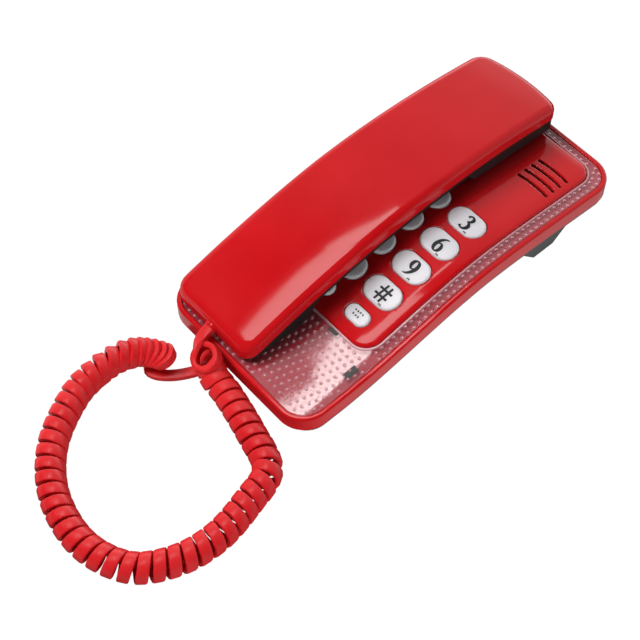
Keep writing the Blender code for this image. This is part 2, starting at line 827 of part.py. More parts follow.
def make_hook():
    plunger = plate(
        "hook_plunger", hook_outline(HOOK_FLANGE), HOOK_FLANGE_BOTTOM, HOOK_FLANGE_TOP
    )
    overlap = HOOK_FLANGE_THICKNESS / 2
    cap = plate("hook_cap", hook_outline(0.0), HOOK_FLANGE_TOP - overlap, HOOK_TOP, CUTTERS)
    plunger = finish(arched(join(plunger, [cap])), "dark_grey_plastic")
    set_origin(plunger, (HANDSET_X, HOOK_Y, faceted(arch_curve, HOOK_Y) + HOOK_TOP))
    ground = faceted(arch_curve, HOOK_Y)
    low = ground + INSIDE_FLOOR + SPRING_WIRE
    high = ground + HOOK_FLANGE_BOTTOM - GAP - SPRING_WIRE
    points_per_turn = 8
    count = SPRING_TURNS * points_per_turn
    helix = []
    for index in range(count + 1):
        angle = 2.0 * math.pi * index / points_per_turn
        helix.append(
            (
                HANDSET_X + SPRING_RADIUS * math.cos(angle),
                HOOK_Y + SPRING_RADIUS * math.sin(angle),
                low + (high - low) * index / count,
            )
        )
    finish(tube("hook_spring", helix, SPRING_WIRE, 1), "steel", 60.0)
    switch = plate(
        "hook_switch",
        box_outline(HANDSET_X + SWITCH_OFFSET, HOOK_Y, SWITCH_LENGTH, SWITCH_WIDTH),
        INSIDE_FLOOR,
        INSIDE_FLOOR + SWITCH_HEIGHT,
    )
    finish(arched(switch), "dark_grey_plastic")


def make_desk_stand():
    side_view = Matrix(((0, 0, 1, 0), (1, 0, 0, 0), (0, 1, 0, 0), (0, 0, 0, 1)))
    bottom = FOOT_HEIGHT + GAP
    half = BASE_WIDTH / 2 - STAND_INSET

    def under_cover(y, spare):
        return faceted(arch_curve, y) - spare

    first = math.ceil(STAND_FRONT_Y / STATION_PITCH)
    last = math.floor(STAND_BACK_Y / STATION_PITCH)
    middle = [station * STATION_PITCH for station in range(first, last + 1)]
    tops = [y for y in middle if STAND_FRONT_Y < y < STAND_BACK_Y]
    ridge = [STAND_FRONT_Y] + tops + [STAND_BACK_Y]
    outline = [(STAND_FOOT_FRONT_Y, bottom), (STAND_FOOT_BACK_Y, bottom)]
    outline += [(y, under_cover(y, GAP)) for y in reversed(ridge)]
    stand = plate("desk_stand", outline, -half, half, PARTS, side_view)
    above = max(height for _, height in outline) + STAND_WALL
    hollow_outline = [
        (STAND_FOOT_FRONT_Y, bottom + STAND_WALL),
        (STAND_FOOT_BACK_Y, bottom + STAND_WALL),
        (STAND_BACK_Y - 2 * STAND_WALL, above),
        (STAND_FRONT_Y + 2 * STAND_WALL, above),
    ]
    inner = half - STAND_WALL
    hollow = plate("stand_hollow", hollow_outline, -inner, inner, CUTTERS, side_view)
    return finish(cut(stand, [hollow]), "dark_grey_plastic")


def make_feet():
    side = BASE_WIDTH / 2 - FOOT_SIDE_INSET
    front = BASE_PLAN[2] + FOOT_FRONT_INSET
    back = (STAND_FOOT_FRONT_Y + STAND_FOOT_BACK_Y) / 2
    for end, y in (("front", front), ("back", back)):
        for hand, x in (("left", -side), ("right", side)):
            foot = disc(f"rubber_foot_{end}_{hand}", FOOT_RADIUS, 0.0, FOOT_HEIGHT, x, y)
            finish(foot, "grey_rubber")


def screw_profile():
    """Pan head at the bottom, shank upwards, from the axis out and back."""
    return [
        (0.0, SCREW_LENGTH),
        (SCREW_RADIUS, SCREW_LENGTH),
        (SCREW_RADIUS, -GAP),
        (SCREW_HEAD_RADIUS, -GAP),
        (SCREW_HEAD_RADIUS, -GAP - SCREW_HEAD_HEIGHT),
        (0.0, -GAP - SCREW_HEAD_HEIGHT),
    ]


def make_cover_screws():
    for index, (x, y) in enumerate(cover_screw_places()):
        place = Matrix.Translation((x, y, 0))
        screw = turned(f"cover_screw_{index + 1}", screw_profile(), SMALL_ROUND_STEPS, place)
        finish(arched(screw), "steel")


def make_line_jack():
    left = BASE_PLAN[0] + JACK_SIDE_INSET
    body = plate(
        "line_jack",
        box_outline(left + JACK_LENGTH / 2, JACK_Y, JACK_LENGTH, JACK_WIDTH),
        -GAP - JACK_HEIGHT,
        -GAP,
    )
    middle = -GAP - JACK_HEIGHT / 2
    mouth = plate(
        "jack_mouth",
        box_outline(left, JACK_Y, 2 * JACK_MOUTH_DEPTH, JACK_MOUTH_WIDTH),
        middle - JACK_MOUTH_HEIGHT / 2,
        middle + JACK_MOUTH_HEIGHT / 2,
        CUTTERS,
    )
    return finish(arched(cut(body, [mouth])), "dark_grey_plastic")


def gland_profile():
    inner = GLAND_PROUD - GLAND_LENGTH
    return [(0.0, GLAND_PROUD), (GLAND_RADIUS, GLAND_PROUD), (GLAND_RADIUS, inner), (0.0, inner)]


def make_base_gland():
    height = faceted(arch_curve, BASE_PLAN[2]) + base_gland_height()
    place = lying_along_y(BASE_GLAND_X, BASE_PLAN[2], height)
    gland = turned("base_cord_gland", gland_profile(), SMALL_ROUND_STEPS, place)
    return finish(gland, "red_gloss")


# Handset

def handset_gland_place():
    height = handset_curve(HANDSET_PLAN[2]) + HANDSET_GLAND_RISE
    return lying_along_y(HANDSET_X, HANDSET_PLAN[2], height)


def handset_screw_places():
    return [(HANDSET_X, HANDSET_SCREW_FRONT_Y), (HANDSET_X, HANDSET_SCREW_BACK_Y)]


def round_top(part, radius):
    """Round the upper rim of a slab."""
    shape = bmesh.new()
    shape.from_mesh(part.data)
    top = max(vert.co.z for vert in shape.verts)
    edges = [edge for edge in shape.edges if all(vert.co.z > top - GAP for vert in edge.verts)]
    bmesh.ops.bevel(
        shape,
        geom=edges,
        offset=radius,
        offset_type="OFFSET",
        segments=3,
        profile=0.5,
        affect="EDGES",
        material=-1,
    )
    shape.to_mesh(part.data)
    shape.free()


def make_handset_back():
    shell = plate("handset_back_shell", handset_outline(0.0), 0.0, HANDSET_HEIGHT)
    round_top(shell, HANDSET_SHOULDER)
    ceiling = HANDSET_HEIGHT - HANDSET_WALL
    room = plate("handset_room", handset_outline(HANDSET_WALL), -HANDSET_WALL, ceiling, CUTTERS)
    round_top(room, max(HANDSET_SHOULDER - HANDSET_WALL, GAP))
    shell = cut(shell, [room])
    bosses = [
        disc(
            f"handset_boss_{index}",
            BOSS_RADIUS,
            GAP,
            ceiling + HANDSET_WALL / 2,
            x,
            y,
            SMALL_ROUND_STEPS,
            CUTTERS,
        )
        for index, (x, y) in enumerate(handset_screw_places())
    ]
    shell = join(shell, bosses)
    reach = SCREW_LENGTH - FACE_BAND + GAP
    holes = [
        disc(
            f"handset_screw_hole_{index}",
            SCREW_HOLE_RADIUS,
            -GAP,
            reach,
            x,
            y,
            SMALL_ROUND_STEPS,
            CUTTERS,
        )
        for index, (x, y) in enumerate(handset_screw_places())
    ]
    gland_hole = [
        (0.0, HANDSET_WALL),
        (GLAND_HOLE_RADIUS, HANDSET_WALL),
        (GLAND_HOLE_RADIUS, -2 * HANDSET_WALL),
        (0.0, -2 * HANDSET_WALL),
    ]
    shell = handset_arched(cut(shell, holes))
    hole = turned("cord_hole", gland_hole, SMALL_ROUND_STEPS, handset_gland_place(), CUTTERS)
    return finish(cut(shell, [hole]), "red_gloss")


def sound_holes():
    """Places of the earpiece and mouthpiece sound holes."""
    places = [(HANDSET_X, RECEIVER_Y), (HANDSET_X, MICROPHONE_Y)]
    for index in range(SOUND_RING_COUNT):
        angle = 2.0 * math.pi * index / SOUND_RING_COUNT
        places.append(
            (
                HANDSET_X + SOUND_RING_RADIUS * math.cos(angle),
                RECEIVER_Y + SOUND_RING_RADIUS * math.sin(angle),
            )
        )
    return places


def make_handset_face():
    """Dark tray whose rim, floor and underside each follow their own curve."""
    level = STATION_PITCH
    face = plate("handset_face_shell", handset_outline(FACE_INSET), -2 * level, 0.0)
    wall = FACE_INSET + FACE_WALL
    room_outline = handset_outline(wall, FACE_FRONT_MARGIN)
    room = plate("face_room", room_outline, -level, level, CUTTERS)
    cutters = [room]
    for index, (x, y) in enumerate(sound_holes()):
        cutters.append(
            disc(f"sound_hole_{index}", SOUND_HOLE_RADIUS, -3 * level, 0.0, x, y, 8, CUTTERS)
        )
    for index, (x, y) in enumerate(handset_screw_places()):
        cutters.append(
            disc(
                f"face_screw_hole_{index}",
                SCREW_HOLE_RADIUS,
                -3 * level,
                0.0,
                x,
                y,
                SMALL_ROUND_STEPS,
                CUTTERS,
            )
        )
    face = cut(face, cutters)

    def height(point):
        underside = faceted(face_curve, point.y)
        if point.z > -level / 2:
            return faceted(handset_curve, point.y) - GAP
        if point.z > -3 * level / 2:
            return underside + FACE_WALL
        return underside

    return finish(reshape(face, height), "dark_grey_plastic")


def on_face_floor(part):
    """Stand a small piece, made at height zero, on the floor of the dark shell."""
    return reshape(part, lambda point: point.z + faceted(face_curve, point.y) + FACE_WALL)


def make_handset_inside():
    seal_top = GAP + SEAL_HEIGHT
    seal = ring(
        "receiver_seal",
        RECEIVER_RADIUS - SEAL_WIDTH,
        RECEIVER_RADIUS,
        GAP,
        seal_top,
        HANDSET_X,
        RECEIVER_Y,
    )
    finish(on_face_floor(seal), "grey_foam")
    capsule_bottom = seal_top + GAP
    receiver = disc(
        "receiver_capsule",
        RECEIVER_RADIUS,
        capsule_bottom,
        capsule_bottom + RECEIVER_HEIGHT,
        HANDSET_X,
        RECEIVER_Y,
    )
    finish(on_face_floor(receiver), "steel")
    boot_inner = MICROPHONE_RADIUS + GAP
    boot = ring(
        "microphone_boot",
        boot_inner,
        boot_inner + BOOT_WALL,
        GAP,
        GAP + MICROPHONE_HEIGHT,
        HANDSET_X,
        MICROPHONE_Y,
        16,
    )
    finish(on_face_floor(boot), "grey_rubber")
    microphone = disc(
        "microphone_capsule",
        MICROPHONE_RADIUS,
        GAP,
        GAP + MICROPHONE_HEIGHT,
        HANDSET_X,
        MICROPHONE_Y,
        16,
    )
    finish(on_face_floor(microphone), "steel")
    weight = plate(
        "handset_weight",
        box_outline(HANDSET_X, WEIGHT_Y, WEIGHT_WIDTH, WEIGHT_LENGTH),
        GAP,
        GAP + WEIGHT_THICKNESS,
    )
    finish(on_face_floor(weight), "steel")


def make_handset_screws():
    for index, (x, y) in enumerate(handset_screw_places()):
        place = Matrix.Translation((x, y, 0))
        screw = turned(f"handset_screw_{index + 1}", screw_profile(), SMALL_ROUND_STEPS, place)
        finish(reshape(screw, lambda point: point.z + faceted(face_curve, point.y)), "steel")


def make_handset_gland():
    profile = gland_profile()
    gland = turned("handset_cord_gland", profile, SMALL_ROUND_STEPS, handset_gland_place())
    return finish(gland, "red_gloss")


# Cord

def smooth_route(points, spacing):
    """Points along a smooth curve through the route, about one spacing apart."""
    route = [Vector(point) for point in points]
    ends = [2 * route[0] - route[1]] + route + [2 * route[-1] - route[-2]]
    result = [route[0]]
    for before, start, end, after in zip(ends, ends[1:], ends[2:], ends[3:]):
        count = max(1, round((end - start).length / spacing))
        for index in range(1, count + 1):
            t = index / count
            result.append(
                0.5
                * (
                    2 * start
                    + (end - before) * t
                    + (2 * before - 5 * start + 4 * end - after) * t * t
                    + (3 * start - before - 3 * end + after) * t * t * t
                )
            )
    return result


def cord_start(gland_place):
    """Two points on a gland's axis, the first one gap in front of its face."""
    return [gland_place @ Vector((0, 0, GLAND_PROUD + GAP + ahead)) for ahead in (0, LEAD_OUT)]


def make_cord():
    coil = tube("cord_coil", smooth_route(COIL_ROUTE, COIL_DIAMETER / 2), COIL_DIAMETER)
    finish(coil, "red_cord", 60.0)
    handset_route = cord_start(handset_gland_place()) + HANDSET_TAIL_ROUTE
    base_height = faceted(arch_curve, BASE_PLAN[2]) + base_gland_height()
    base_place = lying_along_y(BASE_GLAND_X, BASE_PLAN[2], base_height)
    base_route = cord_start(base_place) + BASE_TAIL_ROUTE
    for name, route in (("cord_tail_handset", handset_route), ("cord_tail_base", base_route)):
        finish(tube(name, smooth_route(route, TAIL_DIAMETER), TAIL_DIAMETER), "red_cord", 60.0)


# Assembly

HANDSET_NODES = (
    "handset_back_shell",
    "handset_face_shell",
    "receiver_seal",
    "receiver_capsule",
    "microphone_boot",
    "microphone_capsule",
    "handset_weight",
    "handset_screw_1",
    "handset_screw_2",
    "handset_cord_gland",
)


def add_empty(name, place):
    empty = bpy.data.objects.new(name, None)
    empty.location = place
    PARTS.objects.link(empty)
    return empty


def group_parts():
    """Hang every part on the base's empty or on the handset's, which sits on its lift axis."""
    base = add_empty("base_frame", (0, 0, 0))
    handset = add_empty("handset_lift_axis", (HANDSET_X, HANDSET_PEAK_Y, HANDSET_PEAK_Z))
    bpy.context.view_layer.update()
    for part in list(PARTS.objects):
        if part.type != "MESH":
            continue
        parent = handset if part.name in HANDSET_NODES else base
        part.parent = parent
        part.matrix_parent_inverse = parent.matrix_world.inverted()


def build():
    make_base_housing()
    make_bottom_cover()
    make_snap_tabs()
    make_clear_bezel()
    make_keypad_panel()
    for place in key_places():
        make_key(*place)
    make_keypad_inside()
    make_ringer()
    make_hook()
    make_desk_stand()
    make_feet()
    make_cover_screws()
    make_line_jack()
    make_base_gland()
    make_handset_back()
    make_handset_face()
    make_handset_inside()
    make_handset_screws()
    make_handset_gland()
    make_cord()
    group_parts()


build()
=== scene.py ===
"""Dressed model of the corded desk telephone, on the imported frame.

Lengths are in millimetres until a piece settles, and in metres for the camera, floor and light.
"""

import math

import bmesh
import bpy
from mathutils import Matrix, Vector


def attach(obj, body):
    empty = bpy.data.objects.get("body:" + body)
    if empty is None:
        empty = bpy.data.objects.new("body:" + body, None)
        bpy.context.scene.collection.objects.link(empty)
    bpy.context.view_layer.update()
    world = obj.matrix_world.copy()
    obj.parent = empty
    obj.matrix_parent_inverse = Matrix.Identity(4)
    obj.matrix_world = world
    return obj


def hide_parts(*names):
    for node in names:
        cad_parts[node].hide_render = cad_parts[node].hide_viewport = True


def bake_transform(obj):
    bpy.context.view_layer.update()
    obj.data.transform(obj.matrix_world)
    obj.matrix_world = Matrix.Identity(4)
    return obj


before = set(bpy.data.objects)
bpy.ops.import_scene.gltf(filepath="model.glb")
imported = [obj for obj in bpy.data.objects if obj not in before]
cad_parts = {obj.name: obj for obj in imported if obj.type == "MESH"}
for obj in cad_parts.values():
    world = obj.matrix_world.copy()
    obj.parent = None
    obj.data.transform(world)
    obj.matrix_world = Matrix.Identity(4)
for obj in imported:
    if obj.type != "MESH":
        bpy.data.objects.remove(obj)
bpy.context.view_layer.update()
TO_METRES = 0.001
MERGE_DISTANCE = 1e-4
SHARP_ANGLE = 38.0

# Heights above the underside of the bottom cover
COVER_TOP = 1.6
WALL_FOOT = 1.9
DECK_UNDER = 6.95
DECK_TOP = 8.35
BEZEL_UNDER = 8.65
BEZEL_TOP = 10.65
RIM_TOP = 11.05
PANEL_UNDER = 11.05
PANEL_TOP = 12.85
KEY_FLANGE_UNDER = 9.85
KEY_FLANGE_TOP = 10.75
KEY_TOP = 13.25
HOOK_UNDER = 6.2
GAP = 0.3

# Arches: the base rises and drops again along its length, and the handset has one peak
FOOT_HEIGHT = 1.3
ARCH_RISE = 12.7
ARCH_START_Y = -79.0
ARCH_DROP = 6.0
ARCH_PEAK_Y = 18.0
ARCH_RUN = 97.0
HANDSET_PEAK_Y = 31.0
HANDSET_PEAK_Z = 35.06
HANDSET_SAG = 0.0013297

# Underside of the dark shell: its band at the bridge, and the start and run of the slopes beside it
FACE_BAND = 3.4
EAR_GAP = 0.7
MOUTH_SLOPE_Y = -62.0
MOUTH_SLOPE_RUN = 10.0
EAR_SLOPE_Y = 38.6
EAR_SLOPE_RUN = 5.0

# Base, with plans as left, right, front and back
BASE_PLAN = (-47.2, 47.2, -100.0, 100.0)
BASE_CORNER = 14.0
BASE_CORNER_X = 33.2
BASE_CORNER_Y = 86.0
RIM_WIDTH = 2.4
COVER_PLAN = (-46.7, 46.7, -98.1, 98.1)
COVER_CORNER = 12.1
COVER_SCREW_X = 40.6
COVER_SCREW_Y = 82.0
SCREW_HOLE_RADIUS = 1.6
SNAP_TABS = {
    "snap_tab_side": (37.8, 41.2, -67.4, -60.6),
    "snap_tab_middle": (16.4, 21.6, -56.9, -54.5),
}
SNAP_TAB_TOP = BEZEL_TOP + 0.35
STAND_PLAN = (-45.6, 45.6, 36.0, 70.0)
STAND_WALL = 2.4
STAND_Y = 53.0
FOOT_X = 34.2
FOOT_FRONT_Y = -88.0
FOOT_RADIUS = 4.5

# Keypad panel and the clear bezel's side borders
PANEL_PLAN = (-38.2, 38.2, -54.0, 92.6)
PANEL_CORNER = 9.0
PANEL_WALL = 1.8
PANEL_BORDER = 6.0
PANEL_BORDER_FALL = 0.7
PANEL_DISH = 1.0
PANEL_DISH_HALF = 33.0
BEZEL_BORDER_X = 38.6
BEZEL_BORDER_SLOPE = 0.07

# Handset: its plan, how its ends are bowed and spread, and its walls and holes
HANDSET_PLAN = (-42.0, 7.0, -95.0, 93.0)
HANDSET_CORNER = 7.0
HANDSET_X = -17.5
HANDSET_HALF = 24.5
HANDSET_HEIGHT = 8.6
EAR_BOW = 6.5
EAR_SKEW = 1.7
EAR_ROUNDING = 3.4
MOUTH_FORWARD = 1.2
MOUTH_SPREAD = 2.3
SPREAD_LOSS = 1.8
SHELL_WALL = 2.0
FACE_INSET = 0.4
FACE_FLOOR = 1.7
MICROPHONE_Y = -77.0
RECEIVER_Y = 72.0
HANDSET_SCREWS_Y = (-47.0, 30.0)

# Keypad
KEY_SIZE = (20.0, 12.8)
FUNCTION_KEY_SIZE = (13.4, 8.0)
KEY_CLEARANCE = 0.35
KEY_CROWN = 0.22
COLUMN_X = (-24.8, -1.6, 21.6)
KEY_ROWS = (
    (23.66, ("1", "2", "3")),
    (6.24, ("4", "5", "6")),
    (-11.18, ("7", "8", "9")),
    (-28.60, ("star", "0", "hash")),
)
FUNCTION_ROW_Y = -43.8
FUNCTION_KEYS = ("mute", "flash", "redial")
SOUND_SLOTS_Y = (63.0, 67.7, 72.4, 77.1)
SOUND_SLOT_X = 25.3
SOUND_SLOT_HALF = 9.5
HOOK_Y = 59.66
HOOK_SIZE = (9.0, 7.0)
FIGURE_HEIGHT = 8.9
FIGURE_SHIFT = (0.75, -0.5)
FUNCTION_FIGURE_HEIGHT = 4.2
SMALL_MARK_HEIGHT = 1.8
SMALL_MARK_SHIFT = (3.6, -5.4)

# Dots of the clear bezel: rows, back corners as angle and reach, and the window's field
DOT_RADIUS = 0.95
DOT_PITCH = 3.5
DOT_REACH = 10.3
SIDE_DOT_ROWS = ((40.4, -50.0), (43.55, -51.3))
BACK_DOT_ROW = (-31.5, 94.2)
BACK_CORNER_DOTS = ((28, 7.2), (56, 7.6), (12, 10.3), (32, 10.3), (52, 10.2), (72, 9.6))
FRONT_DOTS_X = -37.2
FRONT_DOT_PITCH = 3.9
FIELD_START = (8.94, -89.2)
FIELD_COLUMN = (3.60, -0.25)
FIELD_ROW = (1.0, 3.35)

# Curly cord: the coil's axis and the two tails
COIL_RADIUS = 5.45
COIL_TURNS = 50.63
COIL_START_ANGLE = 197.0
STEPS_PER_TURN = 18
AXIS_SPACING = 0.5
TAIL_SPACING = 1.2
CORD_WIDTH = 5.3
CORD_THICKNESS = 2.7
CORD_EDGE = 0.8
COIL_AXIS = [
    (-7.1, -107.4, 14.4), (-9.0, -106.7, 12.0), (-4.8, -107.5, 9.4), (0.0, -108.9, 7.6),
    (10.0, -109.8, 6.95),
    (30.7, -114.4, 6.95), (49.0, -120.6, 6.95), (55.1, -136.3, 6.95), (58.9, -156.7, 6.95),
    (55.8, -176.0, 6.95), (45.0, -192.4, 6.95), (23.8, -200.1, 6.95), (-1.2, -195.9, 6.95),
    (-21.2, -182.0, 6.95), (-34.6, -160.3, 7.15), (-37.5, -144.4, 7.6), (-36.9, -133.9, 7.6),
    (-35.6, -130.2, 7.5), (-34.2, -126.8, 7.5), (-31.9, -123.9, 7.5), (-29.6, -122.2, 7.4),
    (-27.1, -120.6, 7.4), (-25.0, -119.6, 7.3), (-23.6, -118.9, 7.3),
]
FIRST_TURN_HEADING = Vector((0.15, 0.49, -0.86))
LATE_TURN_HEADING = Vector((0.376, 0.830, -0.420))
LAST_TURN_HEADING = Vector((0.420, 0.300, -0.857))
HANDSET_TAIL = [
    (-17.5, -96.0, 17.15), (-17.4, -97.8, 17.1), (-16.8, -101.0, 16.7), (-15.4, -105.0, 16.1),
    (-13.2, -108.6, 15.0), (-10.9, -111.4, 13.2), (-7.2, -112.6, 12.5),
]
BASE_TAIL = [
    (-27.9, -120.6, 3.0), (-27.8, -122.8, 1.9), (-27.2, -124.9, 1.7), (-25.8, -126.2, 1.6),
    (-23.6, -125.8, 1.6),
    (-21.0, -124.2, 1.6), (-17.8, -121.0, 1.6), (-15.2, -117.4, 1.6), (-13.0, -113.5, 1.7),
    (-11.7, -110.5, 2.0), (-11.9, -107.5, 3.0), (-12.6, -105.0, 4.3), (-13.4, -102.4, 5.6),
    (-13.5, -100.2, 5.9),
]


# Arched surfaces

def smooth_step(t):
    t = min(max(t, 0.0), 1.0)
    return t * t * (3.0 - 2.0 * t)


def base_arch(y):
    """Height of the bottom cover's underside."""
    rise = ARCH_RISE * smooth_step((y - ARCH_START_Y) / ARCH_RUN)
    drop = ARCH_DROP * smooth_step((y - ARCH_PEAK_Y) / ARCH_RUN)
    return FOOT_HEIGHT + rise - drop


def handset_arch(y):
    """Height of the red shell's lower edge."""
    return HANDSET_PEAK_Z - HANDSET_SAG * (y - HANDSET_PEAK_Y) ** 2


def face_underside(y):
    """Height of the dark shell's underside: mouthpiece and earpiece swell towards the base."""
    mouth = base_arch(y) + BEZEL_TOP + GAP
    ear = base_arch(y) + PANEL_TOP + EAR_GAP
    bridge = handset_arch(y) - FACE_BAND
    height = mouth + (bridge - mouth) * smooth_step((y - MOUTH_SLOPE_Y) / MOUTH_SLOPE_RUN)
    return height + (ear - height) * smooth_step((y - EAR_SLOPE_Y) / EAR_SLOPE_RUN)


# Modelling steps

def add_object(name, data):
    item = bpy.data.objects.new(name, data)
    bpy.context.scene.collection.objects.link(item)
    return item


def mesh_of(name, shape):
    """Turn a shape into a mesh."""
    mesh = bpy.data.meshes.new(name)
    shape.to_mesh(mesh)
    shape.free()
    return mesh


def take_shape(item):
    """Shape of an object with its modifiers or its curve applied."""
    bpy.context.view_layer.update()
    mesh = bpy.data.meshes.new_from_object(
        item.evaluated_get(bpy.context.evaluated_depsgraph_get())
    )
    shape = bmesh.new()
    shape.from_mesh(mesh)
    bpy.data.meshes.remove(mesh)
    return shape


def everything(shape):
    return shape.verts[:] + shape.edges[:] + shape.faces[:]


def block(plan, low, high):
    left, right, front, back = plan
    shape = bmesh.new()
    bmesh.ops.create_cube(
        shape,
        size=1.0,
        matrix=Matrix.Translation(((left + right) / 2, (front + back) / 2, (low + high) / 2))
        @ Matrix.Diagonal((right - left, back - front, high - low, 1.0)),
    )
    return shape


def inset_plan(plan, inset):
    left, right, front, back = plan
    return (left + inset, right - inset, front + inset, back - inset)


def round_edges(shape, edges, radius, steps):
    bmesh.ops.bevel(
        shape,
        geom=edges,
        offset=radius,
        offset_type="OFFSET",
        segments=steps,
        profile=0.5,
        affect="EDGES",
        clamp_overlap=False,
        material=-1,
    )


def round_uprights(shape, radius, steps=7, where=lambda place: True):
    edges = [
        edge for edge in shape.edges
        if (edge.verts[0].co.xy - edge.verts[1].co.xy).length < MERGE_DISTANCE
        and where(edge.verts[0].co)
    ]
    round_edges(shape, edges, radius, steps)


def round_rim(shape, height, radius, steps=4):
    """Round the edges at one height where a flat face meets a wall."""
    edges = []
    for edge in shape.edges:
        if any(abs(vert.co.z - height) > 1e-3 for vert in edge.verts) or len(edge.link_faces) != 2:
            continue
        if edge.calc_face_angle(0.0) > math.radians(60.0):
            edges.append(edge)
    round_edges(shape, edges, radius, steps)


def rounded_slab(plan, low, high, corner, steps=7):
    shape = block(plan, low, high)
    round_uprights(shape, corner, steps)
    return shape


def key_plan(x, y, size, spare=0.0):
    half_length = size[0] / 2 + spare
    half_width = size[1] / 2 + spare
    return (x - half_length, x + half_length, y - half_width, y + half_width)


def key_slab(x, y, size, spare, low, high):
    return rounded_slab(key_plan(x, y, size, spare), low, high, size[1] / 2 + spare - 0.01, 8)


def peg(x, y, radius, low, high, sides=16):
    shape = bmesh.new()
    bmesh.ops.create_cone(
        shape, cap_ends=True, segments=sides, radius1=radius, radius2=radius, depth=high - low,
        matrix=Matrix.Translation((x, y, (low + high) / 2)),
    )
    return shape


def slice_across(shape, axis, places):
    normal = Vector((1, 0, 0)) if axis == "x" else Vector((0, 1, 0))
    for place in places:
        bmesh.ops.bisect_plane(
            shape, geom=everything(shape), dist=MERGE_DISTANCE,
            plane_co=normal * place, plane_no=normal,
        )


def spread(low, high, pitch):
    count = int((high - low) / pitch)
    return [low + pitch * (step + 0.5) for step in range(count)]


def bend(shape, height):
    for vert in shape.verts:
        vert.co.z = height(vert.co)


def on_base_arch(shape, pitch=3.0):
    lengths = [vert.co.y for vert in shape.verts]
    slice_across(shape, "y", spread(min(lengths), max(lengths), pitch))
    bend(shape, lambda point: point.z + base_arch(point.y))
    return shape


def add_to(shape, other):
    """Put another shape's faces into this one."""
    mesh = mesh_of("join", other)
    shape.from_mesh(mesh)
    bpy.data.meshes.remove(mesh)


def carve(shape, tools):
    """Take the tools' room out of a shape."""
    body = add_object("carved", mesh_of("carved", shape))
    cutters = [add_object("tool", mesh_of("tool", tool)) for tool in tools]
    for cutter in cutters:
        step = body.modifiers.new("carve", "BOOLEAN")
        step.operation = "DIFFERENCE"
        step.solver = "EXACT"
        step.object = cutter
    result = take_shape(body)
    bmesh.ops.remove_doubles(result, verts=result.verts[:], dist=MERGE_DISTANCE)
    for item in [body] + cutters:
        bpy.data.objects.remove(item, do_unlink=True)
    return result


def settle(name, shape, finish, body, nodes=(), even=True):
    """Make a shape a piece in metres, give it its finish and let it ride on its body."""
    bmesh.ops.scale(shape, vec=(TO_METRES,) * 3, verts=shape.verts[:])
    mesh = mesh_of(name, shape)
    mesh.materials.clear()
    mesh.materials.append(finish)
    mesh.shade_smooth()
    mesh.set_sharp_from_angle(angle=math.radians(SHARP_ANGLE))
    piece = add_object(name, mesh)
    if even:
        normals = piece.modifiers.new("even_shading", "WEIGHTED_NORMAL")
        normals.keep_sharp = True
        normals.weight = 80
    if body:
        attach(piece, body)
    if nodes:
        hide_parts(*nodes)
    return piece


# Finishes

def new_finish(name):
    finish = bpy.data.materials.new(name)
    finish.use_nodes = True
    tree = finish.node_tree
    return finish, tree, tree.nodes["Principled BSDF"]


def noise(tree, scale, detail=2.0):
    place = tree.nodes.new("ShaderNodeTexCoord")
    grain = tree.nodes.new("ShaderNodeTexNoise")
    grain.inputs["Scale"].default_value = scale
    grain.inputs["Detail"].default_value = detail
    tree.links.new(place.outputs["Object"], grain.inputs["Vector"])
    return grain.outputs["Fac"]


def map_range(tree, value, start, end, low, high):
    """Carry a value between start and end over to between low and high."""
    span = tree.nodes.new("ShaderNodeMapRange")
    for label, level in zip(("From Min", "From Max", "To Min", "To Max"), (start, end, low, high)):
        span.inputs[label].default_value = level
    tree.links.new(value, span.inputs["Value"])
    return span.outputs["Result"]


def multiply_add(tree, value, factor, addend):
    node = tree.nodes.new("ShaderNodeMath")
    node.operation = "MULTIPLY_ADD"
    for socket, source in zip(node.inputs, (value, factor, addend)):
        if isinstance(source, float):
            socket.default_value = source
        else:
            tree.links.new(source, socket)
    return node.outputs["Value"]


def two_tones(tree, shader, fac, dark, light):
    ramp = tree.nodes.new("ShaderNodeValToRGB")
    ramp.color_ramp.elements[0].position = 0.30
    ramp.color_ramp.elements[1].position = 0.70
    ramp.color_ramp.elements[0].color = (*dark, 1.0)
    ramp.color_ramp.elements[1].color = (*light, 1.0)
    tree.links.new(fac, ramp.inputs["Fac"])
    tree.links.new(ramp.outputs["Color"], shader.inputs["Base Color"])


def worn_roughness(tree, shader, fac, low, high):
    tree.links.new(map_range(tree, fac, 0.3, 0.7, low, high), shader.inputs["Roughness"])


def relief(tree, shader, fac, strength, depth):
    bump = tree.nodes.new("ShaderNodeBump")
    bump.inputs["Strength"].default_value = strength
    bump.inputs["Distance"].default_value = depth
    tree.links.new(fac, bump.inputs["Height"])
    tree.links.new(bump.outputs["Normal"], shader.inputs["Normal"])


def moulded(name, dark, light, roughness, grain, depth, metallic=0.0):
    """Moulded finish: slow drift of colour and gloss, and a fine grain in relief."""
    finish, tree, shader = new_finish(name)
    shader.inputs["Metallic"].default_value = metallic
    drift = noise(tree, 30.0)
    two_tones(tree, shader, drift, dark, light)
    worn_roughness(tree, shader, drift, *roughness)
    relief(tree, shader, noise(tree, grain, 3.0), 0.25, depth)
    return finish


def clear_finish(name, alpha, index, dark, light):
    """Clear moulding over red: it lets the deck show and shines on both its faces."""
    finish, tree, shader = new_finish(name)
    shader.inputs["IOR"].default_value = index
    shader.inputs["Alpha"].default_value = alpha
    drift = noise(tree, 40.0)
    two_tones(tree, shader, drift, dark, light)
    worn_roughness(tree, shader, drift, 0.03, 0.07)
    relief(tree, shader, noise(tree, 120.0), 0.05, 0.0004)
    return finish


def let_light_in(finish, weight, radius, scale):
    """Let light pass a little way into a finish."""
    shader = finish.node_tree.nodes["Principled BSDF"]
    shader.inputs["Subsurface Weight"].default_value = weight
    shader.inputs["Subsurface Radius"].default_value = radius
    shader.inputs["Subsurface Scale"].default_value = scale


